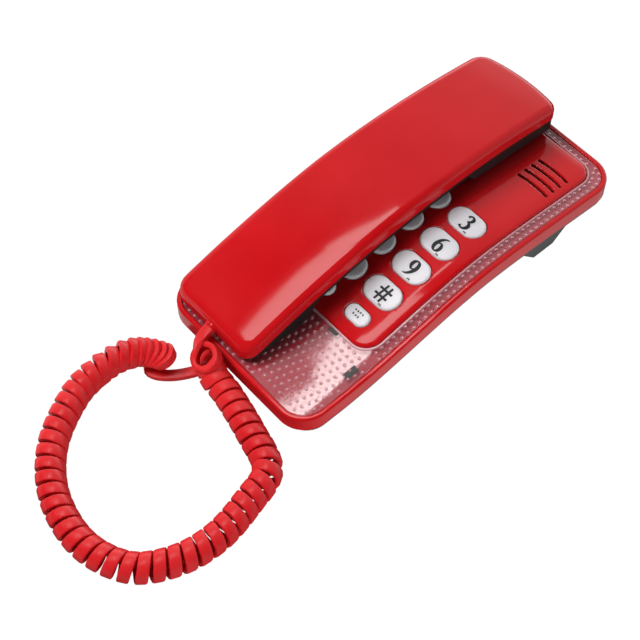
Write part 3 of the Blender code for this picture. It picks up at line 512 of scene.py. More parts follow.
RED_GLOSS = moulded(
    "red_gloss_moulding", (0.545, 0.006, 0.009), (0.60, 0.009, 0.013), (0.06, 0.10), 260.0, 0.00002
)
DARK_MOULDING = moulded(
    "dark_grey_moulding", (0.050, 0.054, 0.051), (0.068, 0.072, 0.069), (0.38, 0.52), 2200.0,
    0.0001,
)
KEY_WHITE = moulded(
    "white_key_moulding", (0.79, 0.775, 0.835), (0.85, 0.835, 0.895), (0.10, 0.18), 900.0, 0.00003
)
let_light_in(KEY_WHITE, 0.75, (1.0, 0.95, 0.95), 0.006)
# The handset's dark grey face plastic, made near black and much darker than the same plastic on the
# stand: painted shade under the handset.
FACE_MOULDING_PAINTED_SHADE = moulded(
    "black_face_moulding", (0.009, 0.009, 0.009), (0.015, 0.015, 0.015), (0.36, 0.50), 2200.0,
    0.0001,
)
KEY_INK = moulded(
    "printed_key_ink", (0.006, 0.006, 0.008), (0.012, 0.012, 0.014), (0.30, 0.45), 3000.0, 0.00002
)
CORD_RED = moulded(
    "red_cord_jacket", (0.63, 0.013, 0.017), (0.71, 0.021, 0.025), (0.28, 0.40), 1500.0, 0.00006
)
CLEAR = clear_finish("clear_moulding", 0.38, 3.2, (0.62, 0.10, 0.14), (0.70, 0.13, 0.17))
# Paler copy of the clear moulding for the dots: painted highlight standing in for the light
# glinting on each dot.
CLEAR_DOTS_PAINTED_HIGHLIGHT = clear_finish("clear_moulding_dots", 0.55, 4.0, (0.80, 0.34, 0.38), (0.88, 0.42, 0.46))
# Paler, less clear copy of the clear moulding for the raised lip round the panel: the lip's shape
# is real, its pale tone is painted highlight for the light line along the panel's edge.
CLEAR_LIP_PAINTED_HIGHLIGHT = clear_finish("clear_moulding_lip", 0.80, 1.6, (0.66, 0.30, 0.34), (0.74, 0.38, 0.42))
RUBBER = moulded(
    "grey_rubber_pad", (0.022, 0.022, 0.024), (0.036, 0.036, 0.038), (0.72, 0.88), 1800.0, 0.0002
)
MAT = moulded(
    "silicone_key_mat", (0.27, 0.27, 0.28), (0.33, 0.33, 0.34), (0.55, 0.70), 1200.0, 0.0001
)
BOARD = moulded(
    "green_circuit_board", (0.085, 0.14, 0.04), (0.12, 0.18, 0.06), (0.35, 0.50), 700.0, 0.0001
)
STEEL = moulded(
    "plated_steel", (0.40, 0.40, 0.41), (0.50, 0.50, 0.51), (0.22, 0.38), 1600.0, 0.00005, 1.0
)
# Brass sounder under the sound slots, given a near-black colour far darker than brass: painted
# shade that keeps the slots dark.
SOUNDER_BRASS_PAINTED_SHADE = moulded(
    "brass_sounder_painted_shade", (0.05, 0.03, 0.015), (0.08, 0.05, 0.02), (0.45, 0.60), 1600.0, 0.00005, 1.0
)
FOAM = moulded(
    "grey_foam_ring", (0.09, 0.09, 0.09), (0.15, 0.15, 0.15), (0.85, 0.95), 2600.0, 0.0004
)
FINISH_OF_SLOT = {
    "red_gloss": RED_GLOSS,
    "dark_grey_plastic": DARK_MOULDING,
    "clear_plastic": CLEAR,
    "white_key": KEY_WHITE,
    "grey_rubber": RUBBER,
    "silicone_mat": MAT,
    "circuit_board": BOARD,
    "steel": STEEL,
    "brass": SOUNDER_BRASS_PAINTED_SHADE,
    "grey_foam": FOAM,
    "red_cord": CORD_RED,
}


# Camera, floor and light

CAMERA_TURN = math.radians(48.38)
CAMERA_RISE = math.radians(57.26)
CAMERA_TARGET = Vector((0.00453, -0.05118, 0.0013))
CAMERA_DISTANCE = 0.68665
FLOOR_HALF = 12.0
FAR_WALL = (-0.35, 0.80, -0.35)
AIR_LEVELS = ((0.13, 0.03), (0.25, 0.13), (0.55, 0.20), (0.75, 0.28), (1.0, 1.0))
AIR_STRENGTH = 2.2


def place_camera():
    data = bpy.data.cameras.new("photo_camera")
    data.sensor_width = 36.0
    data.lens = 84.375
    camera = add_object("photo_camera", data)
    level = math.cos(CAMERA_RISE)
    away = Vector(
        (math.sin(CAMERA_TURN) * level, -math.cos(CAMERA_TURN) * level, math.sin(CAMERA_RISE))
    )
    camera.location = CAMERA_TARGET + away * CAMERA_DISTANCE
    camera.rotation_euler = (-away).to_track_quat("-Z", "Y").to_euler()
    bpy.context.scene.camera = camera


def lay_floor():
    """White floor: the camera sees it as a clean white ground and bounced light as an even pale
    glow; mirrored rays see it dark apart from glowing patches beside the base, which are painted
    reflections.
    """
    shape = bmesh.new()
    bmesh.ops.create_grid(shape, x_segments=1, y_segments=1, size=FLOOR_HALF)
    mesh = mesh_of("studio_floor", shape)
    floor = add_object("studio_floor", mesh)
    finish, tree, shader = new_finish("white_studio_floor")
    shader.inputs["Base Color"].default_value = (0.05, 0.05, 0.05, 1.0)
    shader.inputs["Roughness"].default_value = 0.8
    shader.inputs["Specular IOR Level"].default_value = 0.0
    shader.inputs["Emission Color"].default_value = (1.0, 1.0, 1.0, 1.0)
    ray = tree.nodes.new("ShaderNodeLightPath").outputs
    place = tree.nodes.new("ShaderNodeTexCoord")
    axes = tree.nodes.new("ShaderNodeSeparateXYZ")
    tree.links.new(place.outputs["Object"], axes.inputs["Vector"])
    # Glow that only mirrored rays see, in patches right of the base behind its front corner and
    # left of the cord: painted reflections of a lit floor in the glossy walls.
    painted_reflection_right_of_base = map_range(tree, axes.outputs["X"], 0.042, 0.050, 0.0, 0.45)
    painted_reflection_behind_corner = map_range(tree, axes.outputs["Y"], -0.108, -0.070, 0.0, 1.0)
    painted_reflection_left_of_cord = map_range(tree, axes.outputs["X"], -0.0325, -0.0345, 0.0, 0.40)
    bounce = multiply_add(tree, ray["Is Diffuse Ray"], 0.75, ray["Is Camera Ray"])
    painted_reflection_patches = multiply_add(tree, painted_reflection_right_of_base, painted_reflection_behind_corner, painted_reflection_left_of_cord)
    # Emission: white to the camera, an even pale glow to bounced light, and the painted reflection
    # patches to mirrored rays.
    mirrored = multiply_add(tree, painted_reflection_patches, ray["Is Glossy Ray"], bounce)
    tree.links.new(mirrored, shader.inputs["Emission Strength"])
    mesh.materials.append(finish)


def softbox(name, place, aim, size, watts, mirrored=True):
    data = bpy.data.lights.new(name, "AREA")
    data.shape = "RECTANGLE"
    data.size, data.size_y = size
    data.energy = watts
    light = add_object(name, data)
    light.location = place
    light.rotation_euler = (Vector(aim) - Vector(place)).to_track_quat("-Z", "Y").to_euler()
    light.visible_glossy = mirrored


def light_studio():
    """Air that brightens towards the far wall, strips that the gloss mirrors, and two softboxes."""
    world = bpy.data.worlds.new("studio_air")
    bpy.context.scene.world = world
    world.use_nodes = True
    tree = world.node_tree
    air = tree.nodes["Background"]
    air.inputs["Color"].default_value = (1.0, 1.0, 1.0, 1.0)
    place = tree.nodes.new("ShaderNodeTexCoord")
    towards_wall = tree.nodes.new("ShaderNodeVectorMath")
    towards_wall.operation = "DOT_PRODUCT"
    towards_wall.inputs[1].default_value = FAR_WALL
    tree.links.new(place.outputs["Generated"], towards_wall.inputs[0])
    nearness = map_range(tree, towards_wall.outputs["Value"], -0.25, 0.75, 0.0, 1.0)
    glow = tree.nodes.new("ShaderNodeValToRGB")
    for place_on_ramp, level in AIR_LEVELS:
        stop = glow.color_ramp.elements.new(place_on_ramp)
        stop.color = (level, level, level, 1.0)
    tree.links.new(nearness, glow.inputs["Fac"])
    bright = tree.nodes.new("ShaderNodeMath")
    bright.operation = "MULTIPLY"
    bright.inputs[1].default_value = AIR_STRENGTH
    tree.links.new(glow.outputs["Color"], bright.inputs[0])
    tree.links.new(bright.outputs["Value"], air.inputs["Strength"])
    softbox("overhead_strip", (-0.22, -0.15, 0.9), (-0.22, -0.15, 0.0), (0.26, 0.42), 1.45)
    softbox("window_strip", (-0.330, 0.14, 0.9), (-0.330, 0.14, 0.0), (0.060, 0.26), 0.22)
    softbox("left_softbox", (-0.814, -0.62, 1.112), (0.0, 0.0, 0.0), (0.70, 0.70), 20.8, False)
    softbox("right_fill", (0.95, -0.35, 0.14), (0.0, 0.0, 0.02), (0.50, 0.20), 4.8, False)
    bpy.context.scene.view_settings.view_transform = "Standard"


# Cord

def smooth_route(points, spacing):
    """Points along a smooth curve through the route, about one spacing apart."""
    route = [Vector(point) for point in points]
    ends = [2 * route[0] - route[1]] + route + [2 * route[-1] - route[-2]]
    result = [route[0]]
    for before, start, end, after in zip(ends, ends[1:], ends[2:], ends[3:]):
        count = max(1, round((end - start).length / spacing))
        for index in range(1, count + 1):
            t = index / count
            result.append(
                0.5
                * (
                    2 * start
                    + (end - before) * t
                    + (2 * before - 5 * start + 4 * end - after) * t * t
                    + (3 * start - before - 3 * end + after) * t * t * t
                )
            )
    return result


def near_end(turn, turns_left, over):
    """Rise from 0 to 1 over some turns, which starts when a number of turns is left."""
    return smooth_step((turn - COIL_TURNS + turns_left) / over)


def coil_run(count):
    """How far each step is along the axis: slower in the first turns and where the end bunches."""
    run = [0.0]
    for step in range(count):
        turn = step / STEPS_PER_TURN
        slow_start = 0.35 * (1.0 - smooth_step((turn - 1.5) / 2.0))
        slow_end = 0.14 * near_end(turn, 13.0, 3.0) + 0.46 * near_end(turn, 6.5, 3.0)
        run.append(run[-1] + 1.0 - slow_start - slow_end)
    return run


def coil_heading(turn, axis_heading):
    """Direction that a turn winds around: the axis, apart from both ends of the coil."""
    heading = FIRST_TURN_HEADING.lerp(axis_heading, smooth_step((turn - 0.55) / 1.6))
    heading = heading.lerp(LATE_TURN_HEADING, near_end(turn, 10.0, 4.0))
    return heading.lerp(LAST_TURN_HEADING, near_end(turn, 5.0, 5.0)).normalized()


def coil_points():
    """Wire of the coil with the direction that its flat width takes at each point."""
    axis = smooth_route(COIL_AXIS, AXIS_SPACING)
    reach = [0.0]
    for start, end in zip(axis, axis[1:]):
        reach.append(reach[-1] + (end - start).length)
    count = round(COIL_TURNS * STEPS_PER_TURN)
    run = coil_run(count)
    result = []
    index = 0
    for step in range(count + 1):
        along = reach[-1] * run[step] / run[-1]
        while index < len(axis) - 2 and reach[index + 1] < along:
            index += 1
        share = (along - reach[index]) / (reach[index + 1] - reach[index])
        centre = axis[index].lerp(axis[index + 1], share)
        ahead = axis[min(index + 3, len(axis) - 1)]
        behind = axis[max(index - 2, 0)]
        turn = step / STEPS_PER_TURN
        heading = coil_heading(turn, (ahead - behind).normalized())
        across = Vector((0, 0, 1)).cross(heading).normalized()
        upward = heading.cross(across)
        angle = math.radians(COIL_START_ANGLE) - 2.0 * math.pi * turn
        outward = math.cos(angle) * across + math.sin(angle) * upward
        bunched = near_end(turn, 6.0, 2.5)
        radius = COIL_RADIUS + 0.3 * (1.0 - smooth_step(turn / 1.4)) - 0.4 * bunched
        flare = 0.12 * near_end(turn, 14.0, 3.0) + 0.16 * bunched
        result.append((centre + radius * outward, heading - flare * outward))
    return result


def cord_route():
    """Every point of the cord, from the handset to the base, with its width direction."""
    coil = coil_points()
    first = [Vector(point) for point in HANDSET_TAIL]
    lead_in = smooth_route(first + [coil[0][0], coil[3][0]], TAIL_SPACING)
    near = min(range(len(lead_in)), key=lambda index: (lead_in[index] - coil[0][0]).length)
    start = Vector((-1, 0, 0))
    route = [
        (point, start.lerp(FIRST_TURN_HEADING, smooth_step(index / near)))
        for index, point in enumerate(lead_in[:near])
    ]
    route += coil
    last = [coil[-4][0], coil[-1][0]] + [Vector(point) for point in BASE_TAIL]
    lead_out = smooth_route(last, TAIL_SPACING)
    near = min(range(len(lead_out)), key=lambda index: (lead_out[index] - coil[-1][0]).length)
    for index in range(near + 1, len(lead_out)):
        heading = lead_out[min(index + 1, len(lead_out) - 1)] - lead_out[index - 1]
        flat = Vector((0, 0, 1)).cross(heading).normalized()
        route.append((lead_out[index], coil[-1][1].lerp(flat, smooth_step((index - near) / 5))))
    return route


def cord_profile():
    """Ring of the flat jacket: a rectangle of the cord's width and thickness with round corners."""
    points = []
    for quarter, (side_u, side_v) in enumerate(((1, 1), (-1, 1), (-1, -1), (1, -1))):
        for step in range(3):
            angle = math.radians(90 * quarter + 45 * step)
            points.append(
                (
                    side_u * (CORD_WIDTH / 2 - CORD_EDGE) + CORD_EDGE * math.cos(angle),
                    side_v * (CORD_THICKNESS / 2 - CORD_EDGE) + CORD_EDGE * math.sin(angle),
                )
            )
    return points


def make_cord():
    route = cord_route()
    points = [point for point, _ in route]
    shape = bmesh.new()
    rings = []
    for index, (point, wide) in enumerate(route):
        heading = (points[min(index + 1, len(points) - 1)] - points[max(index - 1, 0)]).normalized()
        wide = (wide - heading * wide.dot(heading)).normalized()
        thick = heading.cross(wide)
        rings.append([shape.verts.new(point + wide * u + thick * v) for u, v in cord_profile()])
    for near, far in zip(rings, rings[1:]):
        edges = []
        for ring in (near, far):
            for pair in ((ring[step], ring[step - 1]) for step in range(len(ring))):
                edges.append(shape.edges.get(pair) or shape.edges.new(pair))
        bmesh.ops.bridge_loops(shape, edges=edges)
    for ring in (rings[0], rings[-1]):
        shape.faces.new(ring)
    bmesh.ops.recalc_face_normals(shape, faces=shape.faces[:])
    cord = settle(
        "curly_cord", shape, CORD_RED, None,
        ("cord_coil", "cord_tail_handset", "cord_tail_base"), even=False,
    )
    return cord, [point * TO_METRES for point in points]


def declare_cord(cord, path):
    length = sum((end - start).length for start, end in zip(path, path[1:]))
    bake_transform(cord)
    tuple(path[0])
    [tuple(point) for point in path]


# Base

def make_base_housing():
    wall = rounded_slab(BASE_PLAN, WALL_FOOT, RIM_TOP, BASE_CORNER, 10)
    round_rim(wall, RIM_TOP, 1.0, 5)
    above = rounded_slab(
        inset_plan(BASE_PLAN, RIM_WIDTH), DECK_TOP, RIM_TOP + 4.0, BASE_CORNER - RIM_WIDTH, 10
    )
    below = rounded_slab(
        inset_plan(BASE_PLAN, RIM_WIDTH + 1.2), -4.0, DECK_UNDER, BASE_CORNER - RIM_WIDTH - 1.2, 10
    )
    window = rounded_slab(inset_plan(PANEL_PLAN, 2.4), 0.0, RIM_TOP, PANEL_CORNER - 2.4)
    tab_slots = [
        block(inset_plan(plan, -GAP), DECK_UNDER - 1.0, RIM_TOP) for plan in SNAP_TABS.values()
    ]
    tray = carve(wall, [above, below, window] + tab_slots)
    round_rim(tray, RIM_TOP, 0.3, 2)
    round_rim(tray, WALL_FOOT, 0.4, 2)
    slice_across(tray, "x", spread(*inset_plan(BASE_PLAN, 1.2)[:2], 9.2))
    settle("base_tray", on_base_arch(tray), RED_GLOSS, "base", ("base_housing",))


def make_bottom_cover():
    cover = rounded_slab(COVER_PLAN, 0.0, COVER_TOP, COVER_CORNER, 10)
    round_rim(cover, 0.0, 0.5, 3)
    holes = [
        peg(x, y, SCREW_HOLE_RADIUS, -1.0, 3.0)
        for x in (-COVER_SCREW_X, COVER_SCREW_X)
        for y in (-COVER_SCREW_Y, COVER_SCREW_Y)
    ]
    cover = carve(cover, holes)
    settle(
        "bottom_cover", on_base_arch(cover), DARK_MOULDING, "base",
        ("base_bottom_cover",),
    )


def make_snap_tabs():
    for name, plan in SNAP_TABS.items():
        tab = block(plan, WALL_FOOT, SNAP_TAB_TOP)
        round_rim(tab, SNAP_TAB_TOP, 0.25, 2)
        settle(
            name + "_moulding", on_base_arch(tab), DARK_MOULDING, "base",
            (name,),
        )


def bezel_dot_places():
    """Dots in rows down the sides, along the back and front, and in a field in the window."""
    places = []
    for step in range(40):
        for side in (-1, 1):
            places += [(side * x, first + DOT_PITCH * step) for x, first in SIDE_DOT_ROWS]
    for step in range(19):
        places.append((BACK_DOT_ROW[0] + DOT_PITCH * step, BACK_DOT_ROW[1]))
    for turn, reach in BACK_CORNER_DOTS:
        x = BASE_CORNER_X + reach * math.cos(math.radians(turn))
        y = BASE_CORNER_Y + reach * math.sin(math.radians(turn))
        places += [(-x, y), (x, y)]
    for step in range(10):
        x = FRONT_DOTS_X + FRONT_DOT_PITCH * step
        round_corner = math.sqrt(DOT_REACH ** 2 - max(-BASE_CORNER_X - x, 0.0) ** 2)
        places.append((x, -BASE_CORNER_Y - round_corner))
    for column in range(-16, 14):
        for row in range(-12, 18):
            x = FIELD_START[0] + FIELD_COLUMN[0] * column + FIELD_ROW[0] * row
            y = FIELD_START[1] + FIELD_COLUMN[1] * column + FIELD_ROW[1] * row
            beyond = math.hypot(max(abs(x) - BASE_CORNER_X, 0.0), max(-BASE_CORNER_Y - y, 0.0))
            reach = DOT_REACH if x > 0.5 else 7.4
            if y < -56.0 and beyond < reach and abs(x) < 43.6:
                places.append((x, y))
    return places


def border_rise(x, y):
    """The bezel's side borders lean inwards, from a line that widens towards the front."""
    start = BEZEL_BORDER_X + 3.0 * smooth_step((-50.0 - y) / 40.0)
    return BEZEL_BORDER_SLOPE * max(abs(x) - start, 0.0)


def make_clear_bezel():
    bezel = rounded_slab(
        inset_plan(BASE_PLAN, RIM_WIDTH + GAP), BEZEL_UNDER, BEZEL_TOP,
        BASE_CORNER - RIM_WIDTH - GAP, 10,
    )
    hole = rounded_slab(inset_plan(PANEL_PLAN, -GAP), 0.0, 20.0, PANEL_CORNER + GAP)
    bezel = carve(bezel, [hole])
    round_rim(bezel, BEZEL_TOP, 0.3, 3)
    borders = [BEZEL_BORDER_X + 0.6 * step for step in range(8)]
    slice_across(bezel, "x", [side * x for side in (-1, 1) for x in borders])
    slice_across(bezel, "y", spread(-98.0, -48.0, 3.0))
    bend(bezel, lambda point: point.z + border_rise(point.x, point.y))
    settle(
        "bezel_plate", on_base_arch(bezel), CLEAR, "base", ("clear_bezel",)
    )
    lip = rounded_slab(
        inset_plan(PANEL_PLAN, -1.3), BEZEL_TOP - 0.3, BEZEL_TOP + 0.5, PANEL_CORNER + 1.3, 10
    )
    round_rim(lip, BEZEL_TOP + 0.5, 0.45, 3)
    inner = rounded_slab(inset_plan(PANEL_PLAN, -GAP), 0.0, 20.0, PANEL_CORNER + GAP, 10)
    lip = carve(lip, [inner])
    settle("bezel_lip", on_base_arch(lip), CLEAR_LIP_PAINTED_HIGHLIGHT, "base")
    dots = bmesh.new()
    for x, y in bezel_dot_places():
        dot = bmesh.new()
        bmesh.ops.create_uvsphere(
            dot, u_segments=10, v_segments=8, radius=DOT_RADIUS,
            matrix=Matrix.Translation((x, y, 0.0)) @ Matrix.Diagonal((1.0, 1.0, 0.7, 1.0)),
        )
        bmesh.ops.bisect_plane(
            dot, geom=everything(dot), dist=MERGE_DISTANCE,
            plane_co=(0, 0, -0.05), plane_no=(0, 0, -1), clear_outer=True,
        )
        add_to(dots, dot)
    bend(
        dots,
        lambda point: point.z + base_arch(point.y) + BEZEL_TOP + border_rise(point.x, point.y),
    )
    settle("bezel_dots", dots, CLEAR_DOTS_PAINTED_HIGHLIGHT, "base", even=False)


def make_glands():
    """Oval collars, turned from a profile of radius and height."""
    profile = [(2.15, 1.6), (2.75, 1.6), (3.1, 1.2), (3.25, 0.4), (3.3, -0.6), (2.15, -0.6)]
    for name, node, place, body in (
        ("handset_cord_collar", "handset_cord_gland", (HANDSET_X, -95.9, 17.15), "handset"),
        ("base_cord_collar", "base_cord_gland", (-13.5, -100.0, 5.9), "base"),
    ):
        collar = bmesh.new()
        verts = [collar.verts.new((radius, 0.0, height)) for radius, height in profile]
        edges = [collar.edges.new((verts[step - 1], verts[step])) for step in range(len(verts))]
        bmesh.ops.spin(
            collar, geom=verts + edges, cent=(0, 0, 0), axis=(0, 0, 1), angle=2 * math.pi,
            steps=24, use_merge=True, use_duplicate=False, dvec=(0, 0, 0), space=Matrix(),
        )
        bmesh.ops.remove_doubles(collar, verts=collar.verts[:], dist=MERGE_DISTANCE)
        bmesh.ops.recalc_face_normals(collar, faces=collar.faces[:])
        bmesh.ops.transform(
            collar, verts=collar.verts[:],
            matrix=Matrix.Translation(place) @ Matrix.Rotation(math.radians(90), 4, "X")
            @ Matrix.Diagonal((1.0, 0.74, 1.0, 1.0)),
        )
        settle(name, collar, RED_GLOSS, body, (node,))


def key_places():
    """Name, place and size of every key."""
    places = []
    for y, names in KEY_ROWS:
        places += [(name, x, y, KEY_SIZE) for name, x in zip(names, COLUMN_X)]
    places += [
        (name, x, FUNCTION_ROW_Y, FUNCTION_KEY_SIZE) for name, x in zip(FUNCTION_KEYS, COLUMN_X)
    ]
    return places


def sound_slot(y):
    """Slot tool whose middle bows towards the earpiece end."""
    plan = (SOUND_SLOT_X - SOUND_SLOT_HALF, SOUND_SLOT_X + SOUND_SLOT_HALF, y - 0.9, y + 0.9)
    tool = rounded_slab(plan, PANEL_UNDER - 1.0, PANEL_TOP + 2.0, 0.85, 4)
    slice_across(tool, "x", spread(SOUND_SLOT_X - 9.0, SOUND_SLOT_X + 9.0, 1.5))
    for vert in tool.verts:
        share = (vert.co.x - SOUND_SLOT_X) / SOUND_SLOT_HALF
        vert.co.y += 0.7 * (1.0 - share * share)
    return tool


def panel_edge_distance(x, y):
    """Distance inwards from the panel's outline."""
    left, right, front, back = inset_plan(PANEL_PLAN, PANEL_CORNER)
    beyond_x = max(left - x, x - right, 0.0)
    beyond_y = max(front - y, y - back, 0.0)
    if beyond_x > 0.0 or beyond_y > 0.0:
        return PANEL_CORNER - math.hypot(beyond_x, beyond_y)
    return PANEL_CORNER + min(x - left, right - x, y - front, back - y)


def make_keypad_panel():
    panel = rounded_slab(PANEL_PLAN, BEZEL_UNDER, PANEL_TOP, PANEL_CORNER, 10)
    round_rim(panel, PANEL_TOP, 1.3, 5)
    room_plan = inset_plan(PANEL_PLAN, PANEL_WALL)
    tools = [rounded_slab(room_plan, 0.0, PANEL_UNDER, PANEL_CORNER - PANEL_WALL)]
    tools += [
        key_slab(x, y, size, KEY_CLEARANCE, PANEL_UNDER - 2.0, PANEL_TOP + 2.0)
        for _, x, y, size in key_places()
    ]
    tools += [sound_slot(y) for y in SOUND_SLOTS_Y]
    tools.append(key_slab(HANDSET_X, HOOK_Y, HOOK_SIZE, KEY_CLEARANCE, PANEL_UNDER - 2.0, 20.0))
    panel = carve(panel, tools)
    round_rim(panel, PANEL_TOP, 0.3, 2)
    slice_across(panel, "x", spread(*PANEL_PLAN[:2], 1.6))
    slice_across(panel, "y", spread(*PANEL_PLAN[2:], 1.8))
    for vert in panel.verts:
        if vert.co.z > PANEL_UNDER + 0.2:
            near = max(0.0, 1.0 - panel_edge_distance(vert.co.x, vert.co.y) / PANEL_BORDER)
            inwards = 1.0 - min(abs(vert.co.x) / PANEL_DISH_HALF, 1.0)
            vert.co.z -= PANEL_BORDER_FALL * near * near + PANEL_DISH * inwards
    bend(panel, lambda point: point.z + base_arch(point.y))
    settle("keypad_plate", panel, RED_GLOSS, "base", ("keypad_panel",))


# Figures on the keys, as pen strokes of x, y and half width in a box one unit high

FIGURES = {
    "1": [
        [(0.17, 0.80, 0.025), (0.25, 0.85, 0.04), (0.33, 0.93, 0.05)],
        [(0.34, 0.93, 0.075), (0.34, 0.05, 0.075)],
        [(0.16, 0.03, 0.03), (0.52, 0.03, 0.03)],
    ],
    "2": [
        [(0.13, 0.74, 0.075), (0.17, 0.89, 0.045), (0.33, 0.96, 0.045), (0.49, 0.86, 0.08),
         (0.49, 0.66, 0.085), (0.34, 0.40, 0.055), (0.11, 0.10, 0.03)],
        [(0.11, 0.07, 0.05), (0.44, 0.07, 0.07), (0.56, 0.21, 0.02)],
    ],
    "3": [
        [(0.12, 0.80, 0.07), (0.22, 0.94, 0.04), (0.37, 0.94, 0.055), (0.47, 0.79, 0.08),
         (0.41, 0.62, 0.06), (0.27, 0.55, 0.03)],
        [(0.27, 0.55, 0.03), (0.43, 0.50, 0.06), (0.53, 0.29, 0.09), (0.43, 0.09, 0.07),
         (0.25, 0.03, 0.04), (0.10, 0.14, 0.075)],
    ],
    "4": [
        [(0.43, 0.95, 0.075), (0.43, 0.03, 0.075)],
        [(0.40, 0.94, 0.03), (0.06, 0.32, 0.025)],
        [(0.06, 0.30, 0.045), (0.58, 0.30, 0.045)],
        [(0.30, 0.02, 0.025), (0.56, 0.02, 0.025)],
    ],
    "5": [
        [(0.19, 0.92, 0.055), (0.52, 0.94, 0.06)],
        [(0.18, 0.92, 0.03), (0.13, 0.55, 0.03)],
        [(0.13, 0.55, 0.025), (0.33, 0.61, 0.06), (0.51, 0.44, 0.09), (0.49, 0.20, 0.08),
         (0.31, 0.04, 0.05), (0.11, 0.11, 0.07)],
    ],
    "6": [
        [(0.58, 0.97, 0.02), (0.40, 0.90, 0.045), (0.22, 0.68, 0.075), (0.14, 0.36, 0.09),
         (0.21, 0.11, 0.07), (0.35, 0.03, 0.04), (0.49, 0.13, 0.075), (0.52, 0.34, 0.085),
         (0.42, 0.53, 0.05), (0.29, 0.52, 0.035), (0.17, 0.40, 0.03)],
    ],
    "7": [
        [(0.09, 0.80, 0.03), (0.13, 0.92, 0.055), (0.54, 0.92, 0.055)],
        [(0.54, 0.90, 0.035), (0.36, 0.50, 0.06), (0.27, 0.02, 0.08)],
    ],
    "8": [
        [(0.34, 0.55, 0.05), (0.17, 0.70, 0.075), (0.20, 0.88, 0.06), (0.34, 0.96, 0.04),
         (0.47, 0.87, 0.06), (0.48, 0.70, 0.075), (0.34, 0.55, 0.05), (0.15, 0.34, 0.08),
         (0.17, 0.13, 0.075), (0.34, 0.03, 0.04), (0.50, 0.13, 0.075), (0.53, 0.33, 0.085),
         (0.34, 0.55, 0.05)],
    ],
    "0": [
        [(0.34, 0.97, 0.035), (0.20, 0.86, 0.075), (0.13, 0.50, 0.095), (0.20, 0.14, 0.075),
         (0.34, 0.03, 0.035), (0.48, 0.14, 0.075), (0.55, 0.50, 0.095), (0.48, 0.86, 0.075),
         (0.34, 0.97, 0.035)],
    ],
    "star": [
        [(0.34, 0.86, 0.06), (0.34, 0.50, 0.03)],
        [(0.04, 0.68, 0.06), (0.34, 0.50, 0.03)],
        [(0.64, 0.68, 0.06), (0.34, 0.50, 0.03)],
        [(0.34, 0.14, 0.06), (0.34, 0.50, 0.03)],
        [(0.04, 0.32, 0.06), (0.34, 0.50, 0.03)],
        [(0.64, 0.32, 0.06), (0.34, 0.50, 0.03)],
    ],
    "hash": [
        [(0.17, 0.00, 0.055), (0.24, 1.00, 0.055)],
        [(0.46, 0.00, 0.055), (0.53, 1.00, 0.055)],
        [(-0.08, 0.32, 0.055), (0.74, 0.32, 0.055)],
        [(-0.06, 0.68, 0.055), (0.76, 0.68, 0.055)],
    ],
    "mute": [
        [(0.10, 0.36, 0.05), (0.10, 0.64, 0.05)],
        [(0.16, 0.50, 0.12), (0.40, 0.84, 0.05), (0.40, 0.16, 0.05), (0.16, 0.50, 0.12)],
        [(0.56, 0.30, 0.05), (0.82, 0.70, 0.05)],
        [(0.56, 0.70, 0.05), (0.82, 0.30, 0.05)],
    ],
    "flash": [
        [(0.44, 0.96, 0.03), (0.22, 0.48, 0.07), (0.46, 0.52, 0.07), (0.24, 0.04, 0.03)],
    ],
    "redial": [
        [(-0.30, 0.82, 0.07), (-0.12, 0.70, 0.07)],
        [(0.10, 0.88, 0.07), (0.16, 0.64, 0.07)],
        [(0.36, 0.72, 0.07), (0.56, 0.86, 0.07)],
        [(0.74, 0.84, 0.07), (0.92, 0.70, 0.07)],
        [(-0.20, 0.36, 0.07), (-0.04, 0.18, 0.07)],
        [(0.18, 0.20, 0.07), (0.38, 0.30, 0.07)],
        [(0.58, 0.38, 0.07), (0.64, 0.14, 0.07)],
    ],
}
SMALL_MARKS = [
    [(-0.10, 0.30, 0.15), (0.12, 0.70, 0.15)],
    [(0.40, 0.70, 0.15), (0.62, 0.30, 0.15)],
]


def figure_strokes(name):
    if name == "9":
        return [[(0.68 - x, 1.0 - y, half) for x, y, half in FIGURES["6"][0]]]
    return FIGURES[name]


def pen_strokes(strokes, height, x, y):
    """Flat mesh of pen strokes, centred on a place."""
    data = bpy.data.curves.new("pen", "CURVE")
    data.dimensions = "3D"
    data.bevel_depth = 1.0
    data.bevel_resolution = 1
    data.use_fill_caps = True
    for stroke in strokes:
        points = smooth_route(stroke, 0.05)
        spline = data.splines.new("POLY")
        spline.points.add(len(points) - 1)
        for target, (u, v, half) in zip(spline.points, points):
            target.co = ((u - 0.34) * height, (v - 0.5) * height, 0.0, 1.0)
            target.radius = 1.2 * half * height
    item = add_object("pen", data)
    shape = take_shape(item)
    bpy.data.objects.remove(item, do_unlink=True)
    for vert in shape.verts:
        vert.co.z = 0.02 if vert.co.z > 0.0 else -0.05
    bmesh.ops.translate(shape, vec=(x, y, 0.0), verts=shape.verts[:])
    return shape


def key_crown(point, x, y, size):
    """Slight pillow of a key's top."""
    u = (point.x - x) / (size[0] / 2)
    v = (point.y - y) / (size[1] / 2)
    return -KEY_CROWN * min(1.0, u * u * 0.6 + v * v * 0.6)


